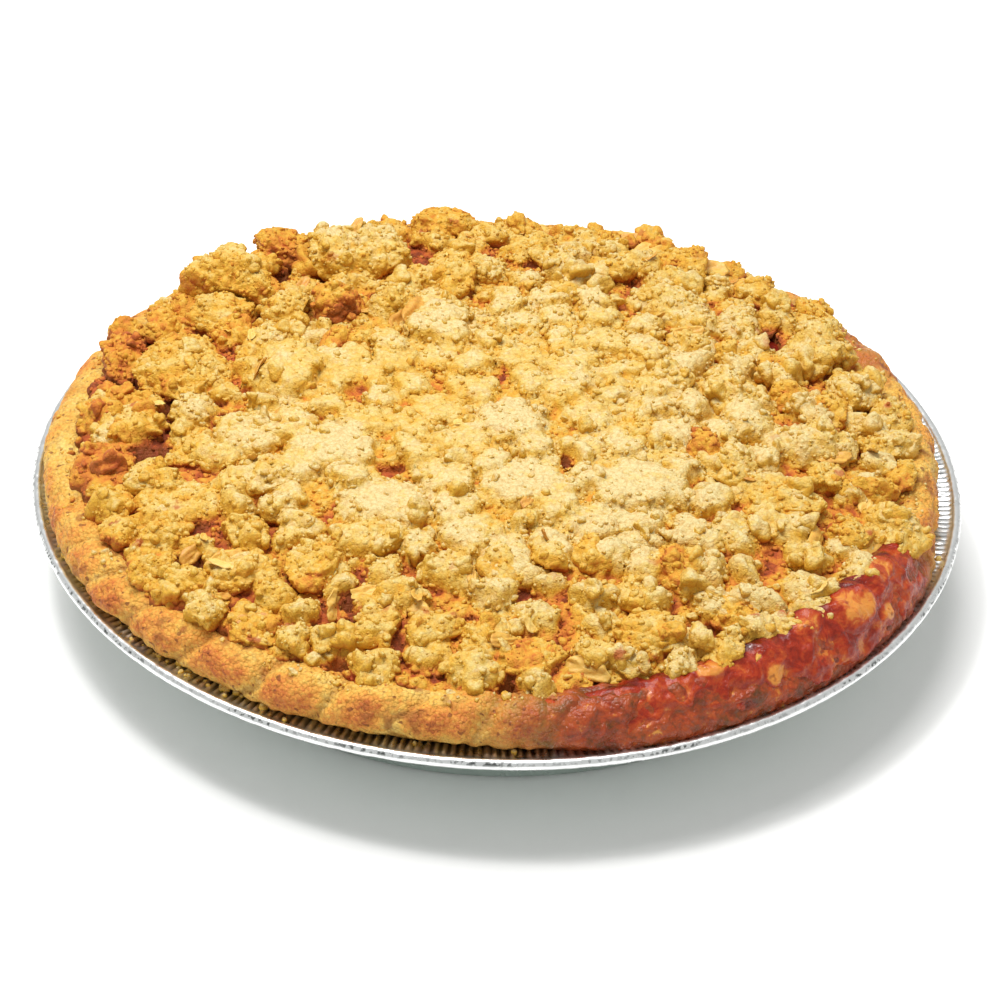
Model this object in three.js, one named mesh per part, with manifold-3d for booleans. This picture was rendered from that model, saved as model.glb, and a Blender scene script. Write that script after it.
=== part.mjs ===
// A Dutch apple pie in its foil pan: the pan, the crimped crust that lines it,
// the apple filling that wells out over the crust at the front right, and the
// crumb topping heaped over both. Millimetres, +Z up, origin under the middle
// of the pan, -Y is the front.

import * as THREE from 'three';
import { mergeVertices } from 'three/addons/utils/BufferGeometryUtils.js';
import Module from 'manifold-3d';

const wasm = await Module();
wasm.setup();

// Driving dimensions
const GAP = 0.3;                 // air between pieces that touch
const PAN_RIM_RADIUS = 123;      // outside of the rolled bead
const PAN_BASE_RADIUS = 91.5;    // flat bottom
const PAN_FLANGE_RADIUS = 111;   // where the wall turns out into the flange
const PAN_FLANGE_HEIGHT = 28.8;  // top of the flange
const PAN_WALL = 0.8;            // stands in for 0.1 mm foil
const BEAD_RADIUS = 1.4;         // half the thickness of the rolled bead
const BASE_CORNER = 3;           // radius from the bottom into the wall

const PIE_SHIFT = -1.7;          // the pie sits this far off the pan's middle in X
const CRUST_THICKNESS = 3.5;     // bottom and side of the crust
const CRIMP_OUT = 1.5;           // how far a full crimp bulges outwards
const CRIMP_UP = 2.4;            // how far a full crimp stands above its valley
const CRIMP_PITCH = 10;          // degrees from one crimp to the next
const CREST_LEAN = 1.4;          // the rim stands this much higher at its high side
const HIGH_SIDE = -40;           // direction of that side, in degrees

const FILLING_EDGE = 38.4;       // top of the filling where it meets the crust
const FILLING_CENTRE = 43.5;     // top of the filling in the middle
const SPILL_FROM = -79;          // the filling wells over the crust from here
const SPILL_TO = -21;            // to here, in degrees
const SPILL_THICKNESS = 2.6;

const TOPPING_EDGE = 42.3;       // mean height of the crumb at its edge
const TOPPING_CENTRE = 52.5;     // and in the middle
const TOPPING_RADIUS = 110.5;
const CORE_SINK = 2.4;           // the core between the clumps lies this much lower
const CORE_CELL = 5;             // the core's points lie this far apart
const PIT = { x: 73, y: 46, width: 8, depth: 20, bottom: 38 };

const PAN_SIDES = 64;
const RIM_SIDES = 144;
const BOWL_SIDES = 48;

// Seeded numbers from 0 to 1, the same on every run.
function seeded(seed) {
  let state = seed;
  return () => {
    state = (state + 0x6d2b79f5) | 0;
    let mixed = Math.imul(state ^ (state >>> 15), 1 | state);
    mixed = (mixed + Math.imul(mixed ^ (mixed >>> 7), 61 | mixed)) ^ mixed;
    return ((mixed ^ (mixed >>> 14)) >>> 0) / 4294967296;
  };
}

function wrapDegrees(angle) {
  return ((angle % 360) + 540) % 360 - 180;
}

// --- Closed solids from rings round the Z axis -----------------------------

// Joins two rings whose point counts may differ with one band of triangles.
function band(index, startA, countA, startB, countB) {
  let a = countA === 1 ? 1 : 0;
  let b = countB === 1 ? 1 : 0;
  while (a < countA || b < countB) {
    const nextA = a < countA ? (a + 1) / countA : Infinity;
    const nextB = b < countB ? (b + 1) / countB : Infinity;
    const cornerA = startA + (a % countA);
    const cornerB = startB + (b % countB);
    if (nextA <= nextB) {
      a += 1;
      index.push(cornerA, startA + (a % countA), cornerB);
    } else {
      b += 1;
      index.push(cornerA, startB + (b % countB), cornerB);
    }
  }
}

// Rings run from the middle of the underside, outwards, up and over the top.
// Each is { sides, at(angle in degrees) -> { r, z } }, and one side is a pole.
// A hoop has no poles: its last ring is joined to its first.
function skin(rings, hoop = false) {
  const positions = [];
  const index = [];
  let start = 0;
  rings.forEach((ring, row) => {
    for (let side = 0; side < ring.sides; side += 1) {
      const angle = (side / ring.sides) * 360;
      const { r, z, shift = PIE_SHIFT } = ring.at(wrapDegrees(angle));
      const turn = THREE.MathUtils.degToRad(angle);
      positions.push(shift + r * Math.cos(turn), r * Math.sin(turn), z);
    }
    if (row > 0) {
      const before = rings[row - 1].sides;
      band(index, start - before, before, start, ring.sides);
    }
    start += ring.sides;
  });
  if (hoop) {
    const { sides } = rings[rings.length - 1];
    band(index, start - sides, sides, 0, rings[0].sides);
  }
  const geometry = new THREE.BufferGeometry();
  geometry.setAttribute('position', new THREE.Float32BufferAttribute(positions, 3));
  geometry.setIndex(index);
  return geometry;
}

function plainRing(r, z, sides, shift = PIE_SHIFT) {
  return { sides, at: () => ({ r, z, shift }) };
}

// --- Between geometries and solids that can be joined and cut --------------

function toSolid(geometry) {
  const bare = geometry.clone();
  bare.deleteAttribute('normal');
  bare.deleteAttribute('uv');
  const merged = mergeVertices(bare, 1e-4);
  return new wasm.Manifold(new wasm.Mesh({
    numProp: 3,
    vertProperties: Float32Array.from(merged.attributes.position.array),
    triVerts: Uint32Array.from(merged.index.array),
  }));
}

function toGeometry(solid) {
  const mesh = solid.getMesh();
  const geometry = new THREE.BufferGeometry();
  geometry.setAttribute('position', new THREE.BufferAttribute(mesh.vertProperties, 3));
  geometry.setIndex(new THREE.BufferAttribute(mesh.triVerts, 1));
  return geometry;
}

function joined(solids) {
  return solids.reduce((whole, solid) => whole.add(solid));
}

// Drops the loose scraps that a cut can leave.
function largest(solid) {
  return solid.decompose().reduce((most, one) => (one.volume() > most.volume() ? one : most));
}

// --- The foil pan -----------------------------------------------------------

// Points of an arc in the profile plane, as [r, z].
function arc(centreR, centreZ, radius, from, to, steps) {
  const points = [];
  for (let step = 0; step <= steps; step += 1) {
    const angle = THREE.MathUtils.degToRad(from + (to - from) * (step / steps));
    points.push([centreR + radius * Math.cos(angle), centreZ + radius * Math.sin(angle)]);
  }
  return points;
}

function foilPan() {
  const beadR = PAN_RIM_RADIUS - BEAD_RADIUS;
  const beadZ = PAN_FLANGE_HEIGHT + 0.3;
  const slope = Math.atan2(PAN_FLANGE_HEIGHT, PAN_FLANGE_RADIUS - PAN_BASE_RADIUS);
  const slopeDegrees = THREE.MathUtils.radToDeg(slope);
  const cornerR = PAN_BASE_RADIUS - BASE_CORNER * Math.tan(slope / 2);
  const outside = [
    [0, 0],
    ...arc(cornerR, BASE_CORNER, BASE_CORNER, -90, slopeDegrees - 90, 2),
    [PAN_FLANGE_RADIUS + PAN_WALL, PAN_FLANGE_HEIGHT - PAN_WALL],
    ...arc(beadR, beadZ, BEAD_RADIUS, -150, 150, 6),
  ];
  const inside = [
    [PAN_FLANGE_RADIUS, PAN_FLANGE_HEIGHT],
    ...arc(cornerR, BASE_CORNER, BASE_CORNER - PAN_WALL, slopeDegrees - 90, -90, 2),
    [0, PAN_WALL],
  ];
  const profile = [...outside, ...inside].map(([r, z]) => new THREE.Vector2(r, z));
  const geometry = new THREE.LatheGeometry(profile, PAN_SIDES);
  geometry.rotateX(Math.PI / 2);
  return geometry;
}

// --- The crust --------------------------------------------------------------

// Crimps that show at the front, read round the rim in degrees. The others
// follow at the even pitch, a little off each.
const FRONT_CRIMPS = [-159, -151, -143.5, -133, -123, -114, -105, -94, -84.5, -76];

function crimpList() {
  const random = seeded(11);
  const crimps = FRONT_CRIMPS.map((angle) => ({ angle, size: 0.8 + 0.4 * random() }));
  const from = FRONT_CRIMPS[FRONT_CRIMPS.length - 1];
  const open = FRONT_CRIMPS[0] + 360 - from;
  const count = Math.round(open / CRIMP_PITCH);
  for (let step = 1; step < count; step += 1) {
    const angle = from + (open * (step + 0.3 * (random() - 0.5))) / count;
    crimps.push({ angle, size: 0.4 + 0.6 * random() });
  }
  return crimps;
}

const CRIMPS = crimpList();

// How deep the crimps are pressed: most at the front left, least at the left.
function crimpStrength(angle) {
  const fromFrontLeft = Math.abs(wrapDegrees(angle + 118));
  const fromLeft = Math.abs(wrapDegrees(angle - 175));
  const strong = Math.exp(-((fromFrontLeft / 45) ** 2));
  const weak = Math.exp(-((fromLeft / 22) ** 2));
  return (0.5 + 0.5 * strong) * (1 - 0.6 * weak);
}

// From about -0.6 in a valley to 0.5 on top of a crimp.
function crimp(angle) {
  let nearest = null;
  let before = -Infinity;
  let after = Infinity;
  for (const one of CRIMPS) {
    const away = wrapDegrees(one.angle - angle);
    if (!nearest || Math.abs(away) < Math.abs(nearest.away)) {
      nearest = { away, size: one.size };
    }
    if (away <= 0) before = Math.max(before, away);
    if (away > 0) after = Math.min(after, away);
  }
  const toValley = Math.min((after - before) / 2, CRIMP_PITCH);
  const share = Math.min(Math.abs(nearest.away) / toValley, 1);
  return (0.5 - 1.1 * share ** 2.4) * nearest.size * crimpStrength(angle);
}

// The visible rim, from its lower edge over the crest to its inner lip. `out`
// and `up` are each row's share of a crimp, `lean` its share of the high side.
const RIM_ROWS = [
  { r: 115.6, z: 29.5, out: 0.2, up: 0, lean: 0 },
  { r: 117.7, z: 31.5, out: 0.6, up: 0, lean: 0.1 },
  { r: 118.0, z: 34.6, out: 1, up: 0.2, lean: 0.4 },
  { r: 116.6, z: 37.6, out: 0.9, up: 0.7, lean: 0.8 },
  { r: 113.6, z: 39.5, out: 0.4, up: 1, lean: 1 },
  { r: 109.4, z: 39.6, out: 0, up: 0.4, lean: 0.8 },
  { r: 104.8, z: 37.2, out: 0, up: 0, lean: 0.2 },
];

// The rim at a row that may be a fraction, moved out along its normal.
function rimAt(row, angle, grow = 0) {
  const low = Math.min(Math.floor(row), RIM_ROWS.length - 2);
  const share = row - low;
  const [a, b] = [RIM_ROWS[low], RIM_ROWS[low + 1]];
  const mix = (name) => a[name] + (b[name] - a[name]) * share;
  const middle = Math.min(Math.round(row), RIM_ROWS.length - 1);
  const previous = RIM_ROWS[Math.max(middle - 1, 0)];
  const next = RIM_ROWS[Math.min(middle + 1, RIM_ROWS.length - 1)];
  const [alongR, alongZ] = [next.r - previous.r, next.z - previous.z];
  const length = Math.hypot(alongR, alongZ);
  const bump = crimp(angle);
  const high = Math.cos(THREE.MathUtils.degToRad(angle - HIGH_SIDE));
  return {
    r: mix('r') + CRIMP_OUT * mix('out') * bump + grow * (alongZ / length),
    z: mix('z') + CRIMP_UP * mix('up') * bump + CREST_LEAN * mix('lean') * high
      - grow * (alongR / length),
  };
}

// The first and last rows have next to no crimp, so half the sides will do.
function rimRing(row, grow = 0) {
  const plain = row === 0 || row === RIM_ROWS.length - 1;
  return { sides: plain ? RIM_SIDES / 2 : RIM_SIDES, at: (angle) => rimAt(row, angle, grow) };
}

// Radius of the pan's inner wall at a height, less the gap.
function wallRadius(z, inwards) {
  const slope = (PAN_FLANGE_RADIUS - PAN_BASE_RADIUS) / PAN_FLANGE_HEIGHT;
  return PAN_BASE_RADIUS + slope * z - inwards;
}

const BOWL_FLOOR = PAN_WALL + GAP + CRUST_THICKNESS;

// The crust's outside below the rim, centred on the pan that holds it.
function crustUnderside() {
  const bottom = PAN_WALL + GAP;
  const inset = PAN_WALL + GAP + 0.4;
  return [
    plainRing(0, bottom, 1, 0),
    plainRing(PAN_BASE_RADIUS - 5.5, bottom, BOWL_SIDES, 0),
    plainRing(wallRadius(4, inset), 4, BOWL_SIDES, 0),
    plainRing(wallRadius(25, inset), 25, BOWL_SIDES, 0),
    plainRing(PAN_FLANGE_RADIUS - 0.4, PAN_FLANGE_HEIGHT + 0.45, BOWL_SIDES, 0),
  ];
}

// The crust's inside below the lip, from the top down, moved in by `inwards`.
function crustInside(inwards = 0) {
  return [
    plainRing(101.2 - inwards, 30, BOWL_SIDES),
    plainRing(86 - inwards, BOWL_FLOOR + 1.5 + inwards, BOWL_SIDES),
    plainRing(80 - inwards, BOWL_FLOOR + inwards, BOWL_SIDES),
    plainRing(0, BOWL_FLOOR + inwards, 1),
  ];
}

function pieCrust() {
  return skin([
    ...crustUnderside(),
    ...RIM_ROWS.map((_, row) => rimRing(row)),
    ...crustInside(),
  ]);
}

// The crust's rim, grown, to cut what lies against it.
function grownRim(grow) {
  const rim = [
    plainRing(110, 25, BOWL_SIDES),
    ...RIM_ROWS.map((_, row) => rimRing(row, grow)),
    plainRing(101.2 - grow, 30, BOWL_SIDES),
    plainRing(98 - grow, 25, BOWL_SIDES),
  ];
  return toSolid(skin(rim, true));
}

// --- The filling ------------------------------------------------------------

function domeHeight(edge, centre, r) {
  return edge + (centre - edge) * (1 - Math.min(r / TOPPING_RADIUS, 1) ** 2.6);
}

// Rows of the filling's domed top, from its edge to the middle.
function fillingTop(grow = 0) {
  const rows = [[102.4, 48], [92, 36], [70, 24], [36, 12]];
  return [
    ...rows.map(([r, sides]) => (
      plainRing(r, domeHeight(FILLING_EDGE, FILLING_CENTRE, r) + grow, sides))),
    plainRing(0, FILLING_CENTRE + grow, 1),
  ];
}

// How thick the spill lies over the crust, with three slow swells along it.
function spillThickness(angle) {
  const middle = (SPILL_FROM + SPILL_TO) / 2;
  const half = (SPILL_TO - SPILL_FROM) / 2;
  const share = Math.min(Math.abs(angle - middle) / half, 1);
  const swell = 1 + 0.22 * Math.sin(THREE.MathUtils.degToRad(angle * 14));
  return SPILL_THICKNESS * Math.max(1 - share ** 3, 0.04) * swell;
}

// The spill's lower edge as a row of the rim: it creeps down to the pan's flange.
function spillReach(angle) {
  const share = THREE.MathUtils.smoothstep(angle, SPILL_FROM, SPILL_FROM + 20);
  return THREE.MathUtils.lerp(3.6, 0.7, share);
}

// A sheet over the rim from the inner lip down to the spill's lower edge.
function spill(inner, outer) {
  const columns = 20;
  const rows = 5;
  const innerRow = RIM_ROWS.length - 0.2;
  const positions = [];
  const index = [];
  for (const side of [0, 1]) {
    for (let column = 0; column <= columns; column += 1) {
      const angle = SPILL_FROM + ((SPILL_TO - SPILL_FROM) * column) / columns;
      for (let row = 0; row <= rows; row += 1) {
        const at = THREE.MathUtils.lerp(innerRow, spillReach(angle), row / rows);
        const belly = 0.55 + 0.45 * Math.sin(Math.PI * Math.min(row / rows + 0.25, 1));
        const grow = side === 0 ? inner : outer + spillThickness(angle) * belly;
        const { r, z } = rimAt(at, angle, grow);
        const turn = THREE.MathUtils.degToRad(angle);
        positions.push(PIE_SHIFT + r * Math.cos(turn), r * Math.sin(turn), z);
      }
    }
  }
  const point = (side, column, row) => (side * (columns + 1) + column) * (rows + 1) + row;
  const quad = (a, b, c, d) => index.push(a, b, c, a, c, d);
  for (let column = 0; column < columns; column += 1) {
    for (let row = 0; row < rows; row += 1) {
      const corners = [[column, row], [column, row + 1], [column + 1, row + 1], [column + 1, row]];
      quad(...corners.map(([c, r]) => point(1, c, r)));
      quad(...corners.reverse().map(([c, r]) => point(0, c, r)));
    }
    for (const row of [0, rows]) {
      const edge = [point(0, column, row), point(1, column, row),
        point(1, column + 1, row), point(0, column + 1, row)];
      quad(...(row === 0 ? edge : edge.reverse()));
    }
  }
  for (let row = 0; row < rows; row += 1) {
    for (const column of [0, columns]) {
      const edge = [point(0, column, row), point(0, column, row + 1),
        point(1, column, row + 1), point(1, column, row)];
      quad(...(column === 0 ? edge : edge.reverse()));
    }
  }
  const geometry = new THREE.BufferGeometry();
  geometry.setAttribute('position', new THREE.Float32BufferAttribute(positions, 3));
  geometry.setIndex(index);
  return toSolid(geometry);
}

function appleFilling() {
  const body = toSolid(skin([
    plainRing(0, BOWL_FLOOR + GAP, 1),
    plainRing(80 - GAP, BOWL_FLOOR + GAP, BOWL_SIDES),
    plainRing(86 - GAP, BOWL_FLOOR + 1.5 + GAP, BOWL_SIDES),
    plainRing(101.2 - 2 * GAP, 30, BOWL_SIDES),
    plainRing(103.6, 36.4, BOWL_SIDES),
    ...fillingTop(),
  ]));
  return toGeometry(largest(body.add(spill(0.1, GAP)).subtract(grownRim(GAP))));
}

// --- The crumb topping ------------------------------------------------------

// The clumps that stand out, read from above in millimetres:
// [x, y, width, depth, top, turn in degrees].
const CLUMPS = [
  [-79, 60, 27, 24, 58, 20],
  [-66, 84, 15, 14, 51, 0],
  [-43, 78, 34, 25, 57.5, 10],
  [-46, 48, 15, 13, 57, 0],
  [-58, 46, 14, 22, 53.5, 0],
  [-31, 48, 13, 17, 55.5, 0],
  [-16, 37, 16, 20, 55, 0],
  [-14, 62, 12, 15, 56, 0],
  [-19, 100, 22, 12, 51, 0],
  [-57, 13, 24, 21, 54.5, 0],
  [-87, 18, 28, 34, 51.5, 15],
  [-103, 27, 11, 22, 48, 0],
  [-101, -25, 18, 23, 45.5, 0],
  [-64, -16, 17, 20, 51, 0],
  [-79, -17, 13, 18, 48, 0],
  [-78, -43, 26, 17, 47.5, 10],
  [-42, -22, 22, 20, 53, 0],
  [-28, -46, 28, 20, 51.5, 0],
  [-62, -68, 20, 16, 47.5, 0],
  [-57, -88, 15, 15, 44.5, 0],
  [3, -9, 23, 19, 54.5, 0],
  [5, -36, 21, 20, 53, 0],
  [35, -35, 29, 19, 52.5, 0],
  [80, -7, 24, 17, 50.5, 0],
  [72, -32, 25, 17, 50, 0],
  [101, -37, 18, 17, 46, -20],
  [-2, -91, 14, 15, 47, 0],
  [9, -99, 17, 14, 46, 0],
  [38, -88, 20, 15, 47, 0],
  [45, -66, 11, 17, 50.5, 0],
  [61, 12, 14, 19, 55, 0],
  [47, 58, 25, 22, 53.5, 0],
  [87, 43, 20, 27, 51, -20],
  [95, 22, 13, 20, 49.5, 0],
  [50, 82, 17, 16, 51, 0],
];

// Oat flakes that stand up out of the crumb: [x, y, length, tilt, turn].
const FLAKES = [
  [-38, -81, 13, 65, 80],
  [-31, -79, 9, 20, 30],
  [81, -48, 11, 60, 70],
  [94, -50, 14, 30, 60],
  [-24, 43, 15, 25, 70],
  [57, 24, 9, 35, 40],
  [50, 74, 12, 20, -20],
  [23, -101, 12, 30, -25],
  [-65, -66, 12, 25, 20],
  [95, -59, 9, 30, 45],
];

const SMALL_CLUMPS = 240;        // smaller clumps spread over the rest
const SMALL_FLAKES = 6;          // and more flakes
const GOLDEN_TURN = 2.39996;     // radians from one spread thing to the next
const STANDS_OUT = 4;            // a clump this far above the dome is fused on

function toppingHeight(x, y) {
  return domeHeight(TOPPING_EDGE, TOPPING_CENTRE, Math.hypot(x - PIE_SHIFT, y));
}

// Smaller clumps by the golden angle, flatter in the middle, off the large ones.
function smallClumps() {
  const random = seeded(5);
  const spread = [];
  for (let step = 0; step < SMALL_CLUMPS; step += 1) {
    const share = Math.sqrt((step + 0.5) / SMALL_CLUMPS);
    const turn = step * GOLDEN_TURN + 0.06 * random();
    const x = PIE_SHIFT + (TOPPING_RADIUS - 2) * share * Math.cos(turn);
    const y = (TOPPING_RADIUS - 2) * share * Math.sin(turn);
    const width = 9 + 6 * random();
    const depth = width * (0.75 + 0.5 * random());
    const rise = (0.4 + 3.4 * random()) * (0.35 + 0.65 * share);
    const onLarge = CLUMPS.some(([cx, cy, w, d]) => Math.hypot((x - cx) / w, (y - cy) / d) < 0.5);
    if (!onLarge) spread.push([x, y, width, depth, toppingHeight(x, y) + rise, 180 * random()]);
  }
  return spread;
}

const SPREAD = smallClumps();
const LARGE = CLUMPS.filter(([x, y, , , top]) => top - toppingHeight(x, y) >= STANDS_OUT);
const HUMPS = [...CLUMPS.filter((one) => !LARGE.includes(one)), ...SPREAD];

// The topping's height with the clumps as humps on the sunken dome.
function crumbHeight(x, y) {
  const floor = toppingHeight(x, y) - CORE_SINK;
  let height = floor;
  for (const [cx, cy, width, depth, top, turn] of HUMPS) {
    const angle = THREE.MathUtils.degToRad(turn);
    const along = (x - cx) * Math.cos(angle) + (y - cy) * Math.sin(angle);
    const across = (y - cy) * Math.cos(angle) - (x - cx) * Math.sin(angle);
    const away = Math.hypot(along / (width / 2), across / (depth / 2));
    if (away < 1) height = Math.max(height, floor + (top - floor) * Math.sqrt(1 - away ** 2));
  }
  return height;
}

// The topping's outline from above: the clumps at its edge hang over a little.
function edgeRadius(angle) {
  const turn = THREE.MathUtils.degToRad(angle);
  let reach = TOPPING_RADIUS - 1;
  for (const [x, y, width, depth] of HUMPS) {
    const along = (x - PIE_SHIFT) * Math.cos(turn) + y * Math.sin(turn);
    const across = y * Math.cos(turn) - (x - PIE_SHIFT) * Math.sin(turn);
    const half = Math.min(width, depth) / 2;
    if (Math.abs(across) < half) reach = Math.max(reach, along + Math.sqrt(half ** 2 - across ** 2));
  }
  return Math.min(reach, TOPPING_RADIUS + 3);
}

// The core under the fused pieces, its points CORE_CELL apart.
function toppingCore() {
  const edge = (inwards, z) => ({
    sides: 96,
    at: (angle) => ({ r: edgeRadius(angle) - inwards, z }),
  });
  const top = [];
  for (let r = TOPPING_RADIUS - 3.5; r > CORE_CELL; r -= CORE_CELL) {
    const at = (angle) => {
      const turn = THREE.MathUtils.degToRad(angle);
      return { r, z: crumbHeight(PIE_SHIFT + r * Math.cos(turn), r * Math.sin(turn)) };
    };
    top.push({ sides: Math.round((2 * Math.PI * r) / CORE_CELL), at });
  }
  return toSolid(skin([
    plainRing(0, 33, 1),
    plainRing(105, 33, BOWL_SIDES),
    edge(2, TOPPING_EDGE - 3),
    edge(0, TOPPING_EDGE - 0.6),
    edge(1.6, TOPPING_EDGE + 1.2),
    ...top,
    plainRing(0, TOPPING_CENTRE, 1),
  ]));
}

// One clump: a rough ball with few sides, set down into the core.
function clump([x, y, width, depth, top, turn], random) {
  const bottom = toppingHeight(x, y) - CORE_SINK - 0.2 * Math.min(width, depth);
  const geometry = new THREE.IcosahedronGeometry(1, width > 16 ? 1 : 0);
  geometry.deleteAttribute('normal');
  geometry.deleteAttribute('uv');
  const ball = mergeVertices(geometry, 1e-4);
  const place = ball.attributes.position;
  for (let corner = 0; corner < place.count; corner += 1) {
    const rough = 0.9 + 0.26 * random();
    place.setXYZ(corner, place.getX(corner) * rough, place.getY(corner) * rough,
      THREE.MathUtils.clamp(place.getZ(corner) * rough, -1, 0.92));
  }
  ball.scale(width / 2, depth / 2, (top - bottom) / 1.92);
  ball.rotateZ(THREE.MathUtils.degToRad(turn));
  ball.translate(x, y, (top + bottom) / 2);
  return toSolid(ball);
}

// A flake is a thin oval plate that leans out of the crumb.
function flake([x, y, length, tilt, turn]) {
  const plate = new THREE.CylinderGeometry(0.5, 0.5, 1, 6);
  plate.rotateX(Math.PI / 2);
  plate.scale(length, length * 0.62, 1.4);
  plate.rotateY(THREE.MathUtils.degToRad(-tilt));
  plate.rotateZ(THREE.MathUtils.degToRad(turn));
  plate.translate(x, y, crumbHeight(x, y) + 0.6);
  return toSolid(plate);
}

function smallFlakes(random) {
  return Array.from({ length: SMALL_FLAKES }, (_, step) => {
    const r = (TOPPING_RADIUS - 12) * Math.sqrt((step + 0.7) / SMALL_FLAKES);
    const turn = step * GOLDEN_TURN + 1.1;
    const length = 7 + 3 * random();
    const tilt = 15 + 40 * random();
    return [PIE_SHIFT + r * Math.cos(turn), r * Math.sin(turn), length, tilt, 360 * random()];
  });
}

// What the topping lies on, grown by the gap: the rim, the filling and its spill.
function bed() {
  const under = toSolid(skin([
    plainRing(0, 25, 1),
    plainRing(110, 25, BOWL_SIDES),
    ...RIM_ROWS.map((_, row) => rimRing(row, GAP)),
    ...fillingTop(GAP),
  ]));
  return under.add(spill(0.1, 2 * GAP));
}

// The hole at the back right, down to the filling.
function pit() {
  const shaft = new THREE.CylinderGeometry(0.5, 0.32, 1, 9);
  shaft.rotateX(Math.PI / 2);
  const height = 2 * (TOPPING_CENTRE - PIT.bottom);
  shaft.scale(PIT.width, PIT.depth, height);
  shaft.translate(PIT.x, PIT.y, PIT.bottom + height / 2);
  return toSolid(shaft);
}

function crumbTopping() {
  const random = seeded(29);
  const large = LARGE.map((one) => clump(one, random));
  const flakes = [...FLAKES, ...smallFlakes(random)].map(flake);
  const heap = joined([toppingCore(), ...large, ...flakes]);
  return toGeometry(largest(heap.subtract(pit()).subtract(bed())));
}

// --- The pie ----------------------------------------------------------------

function piece(name, geometry, color, roughness, metalness = 0) {
  geometry.computeVertexNormals();
  const material = new THREE.MeshStandardMaterial({ color, roughness, metalness });
  const mesh = new THREE.Mesh(geometry, material);
  mesh.name = name;
  return mesh;
}

const pie = new THREE.Group();
pie.add(piece('foil_pan', foilPan(), 0xc9cdc9, 0.3, 1));
pie.add(piece('pie_crust', pieCrust(), 0xd08f3c, 0.75));
pie.add(piece('apple_filling', appleFilling(), 0xb44a28, 0.25));
pie.add(piece('crumb_topping', crumbTopping(), 0xecd08a, 0.85));

export default pie;
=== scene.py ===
# A Dutch apple pie in its foil pan: pan, crimped crust, apple filling welling
# out at the front right, and the heaped oat crumb. Blender metres in the
# part's own frame; the sizes below are millimetres unless a comment says not.

import math

import bmesh
import bpy
import numpy as np
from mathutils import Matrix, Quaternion, Vector


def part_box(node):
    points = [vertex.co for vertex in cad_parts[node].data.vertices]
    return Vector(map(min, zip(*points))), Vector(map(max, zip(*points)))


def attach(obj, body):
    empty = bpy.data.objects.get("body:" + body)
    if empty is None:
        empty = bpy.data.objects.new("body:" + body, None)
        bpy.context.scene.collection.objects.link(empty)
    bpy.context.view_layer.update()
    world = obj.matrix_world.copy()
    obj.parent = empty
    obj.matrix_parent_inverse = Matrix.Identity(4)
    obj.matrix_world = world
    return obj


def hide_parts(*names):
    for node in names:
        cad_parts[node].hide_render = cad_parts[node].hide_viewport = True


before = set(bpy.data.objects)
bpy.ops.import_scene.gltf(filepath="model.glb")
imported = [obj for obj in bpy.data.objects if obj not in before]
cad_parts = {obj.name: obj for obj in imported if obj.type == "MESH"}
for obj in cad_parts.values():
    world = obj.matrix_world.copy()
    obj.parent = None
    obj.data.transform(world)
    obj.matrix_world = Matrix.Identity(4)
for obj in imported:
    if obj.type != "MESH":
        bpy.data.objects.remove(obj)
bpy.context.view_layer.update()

MM = 0.001
MASK = 0xFFFFFFFF                # 32 bits

# Sizes taken from the frame
PAN_BOX = [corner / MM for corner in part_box("foil_pan")]
PAN_RIM_RADIUS = PAN_BOX[1].x
PAN_TOP = PAN_BOX[1].z

# Driving sizes, the same as the part's
PAN_BASE_RADIUS = 91.5
PAN_FLANGE_RADIUS = 111
PAN_FLANGE_HEIGHT = 28.8
PAN_WALL = 0.8
BEAD_RADIUS = 1.4
BASE_CORNER = 3
PIE_SHIFT = -1.7
CRUST_THICKNESS = 3.5
CRIMP_OUT = 1.5
CRIMP_UP = 2.4
CRIMP_PITCH = 10
CREST_LEAN = 1.4
HIGH_SIDE = -40
FILLING_EDGE = 38.4
FILLING_CENTRE = 43.5
SPILL_FROM = -79
SPILL_TO = -21
TOPPING_EDGE = 42.3
TOPPING_CENTRE = 52.5
TOPPING_RADIUS = 110.5
DOME_POWER = 2.6                 # how late the dome falls off towards its edge
CORE_SINK = 2.4
AIR_GAP = 0.3                    # between pieces that touch
PIT = (73, 46, 8, 20)            # x, y, width, depth of the hole at the back right
GOLDEN_TURN = 2.39996            # radians

# How fine the meshes are
BED_CELL = 0.67
FILLING_CELL = 2.6
RIM_COLUMNS = 1040
RIM_STEPS = 66
SPILL_COLUMNS = 360
SPILL_STEPS = 80
FLUTES = 360
WALL_STEPS = 12


# --- Chance and rough surfaces ----------------------------------------------

def seeded(seed):
    """Numbers from 0 to 1, the same on every run and the same as the part's."""
    state = seed

    def draw():
        nonlocal state
        state = (state + 0x6D2B79F5) & MASK
        mixed = ((state ^ (state >> 15)) * (1 | state)) & MASK
        mixed = ((mixed + (((mixed ^ (mixed >> 7)) * (61 | mixed)) & MASK)) & MASK) ^ mixed
        return (mixed ^ (mixed >> 14)) / 4294967296

    return draw


def lattice(cells, seed):
    """A random number from 0 to 1 for each whole-number point."""
    mixed = cells[..., 0] * 73856093 ^ cells[..., 1] * 19349663 ^ cells[..., 2] * 83492791
    mixed = (mixed + seed * 0x9E3779B1) & MASK
    mixed = ((mixed ^ (mixed >> 15)) * 0x85EBCA6B) & MASK
    mixed = ((mixed ^ (mixed >> 13)) * 0xC2B2AE35) & MASK
    return (mixed ^ (mixed >> 16)) / MASK


def waves(points, size, seed):
    """Smooth random swells from -1 to 1, about size across."""
    at = points / size
    low = np.floor(at).astype(np.int64)
    part = at - low
    part = part * part * (3 - 2 * part)
    total = np.zeros(len(points))
    for corner in np.ndindex(2, 2, 2):
        share = np.where(np.array(corner, bool), part, 1 - part).prod(axis=1)
        total += share * lattice(low + corner, seed)
    return 2 * total - 1


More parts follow.
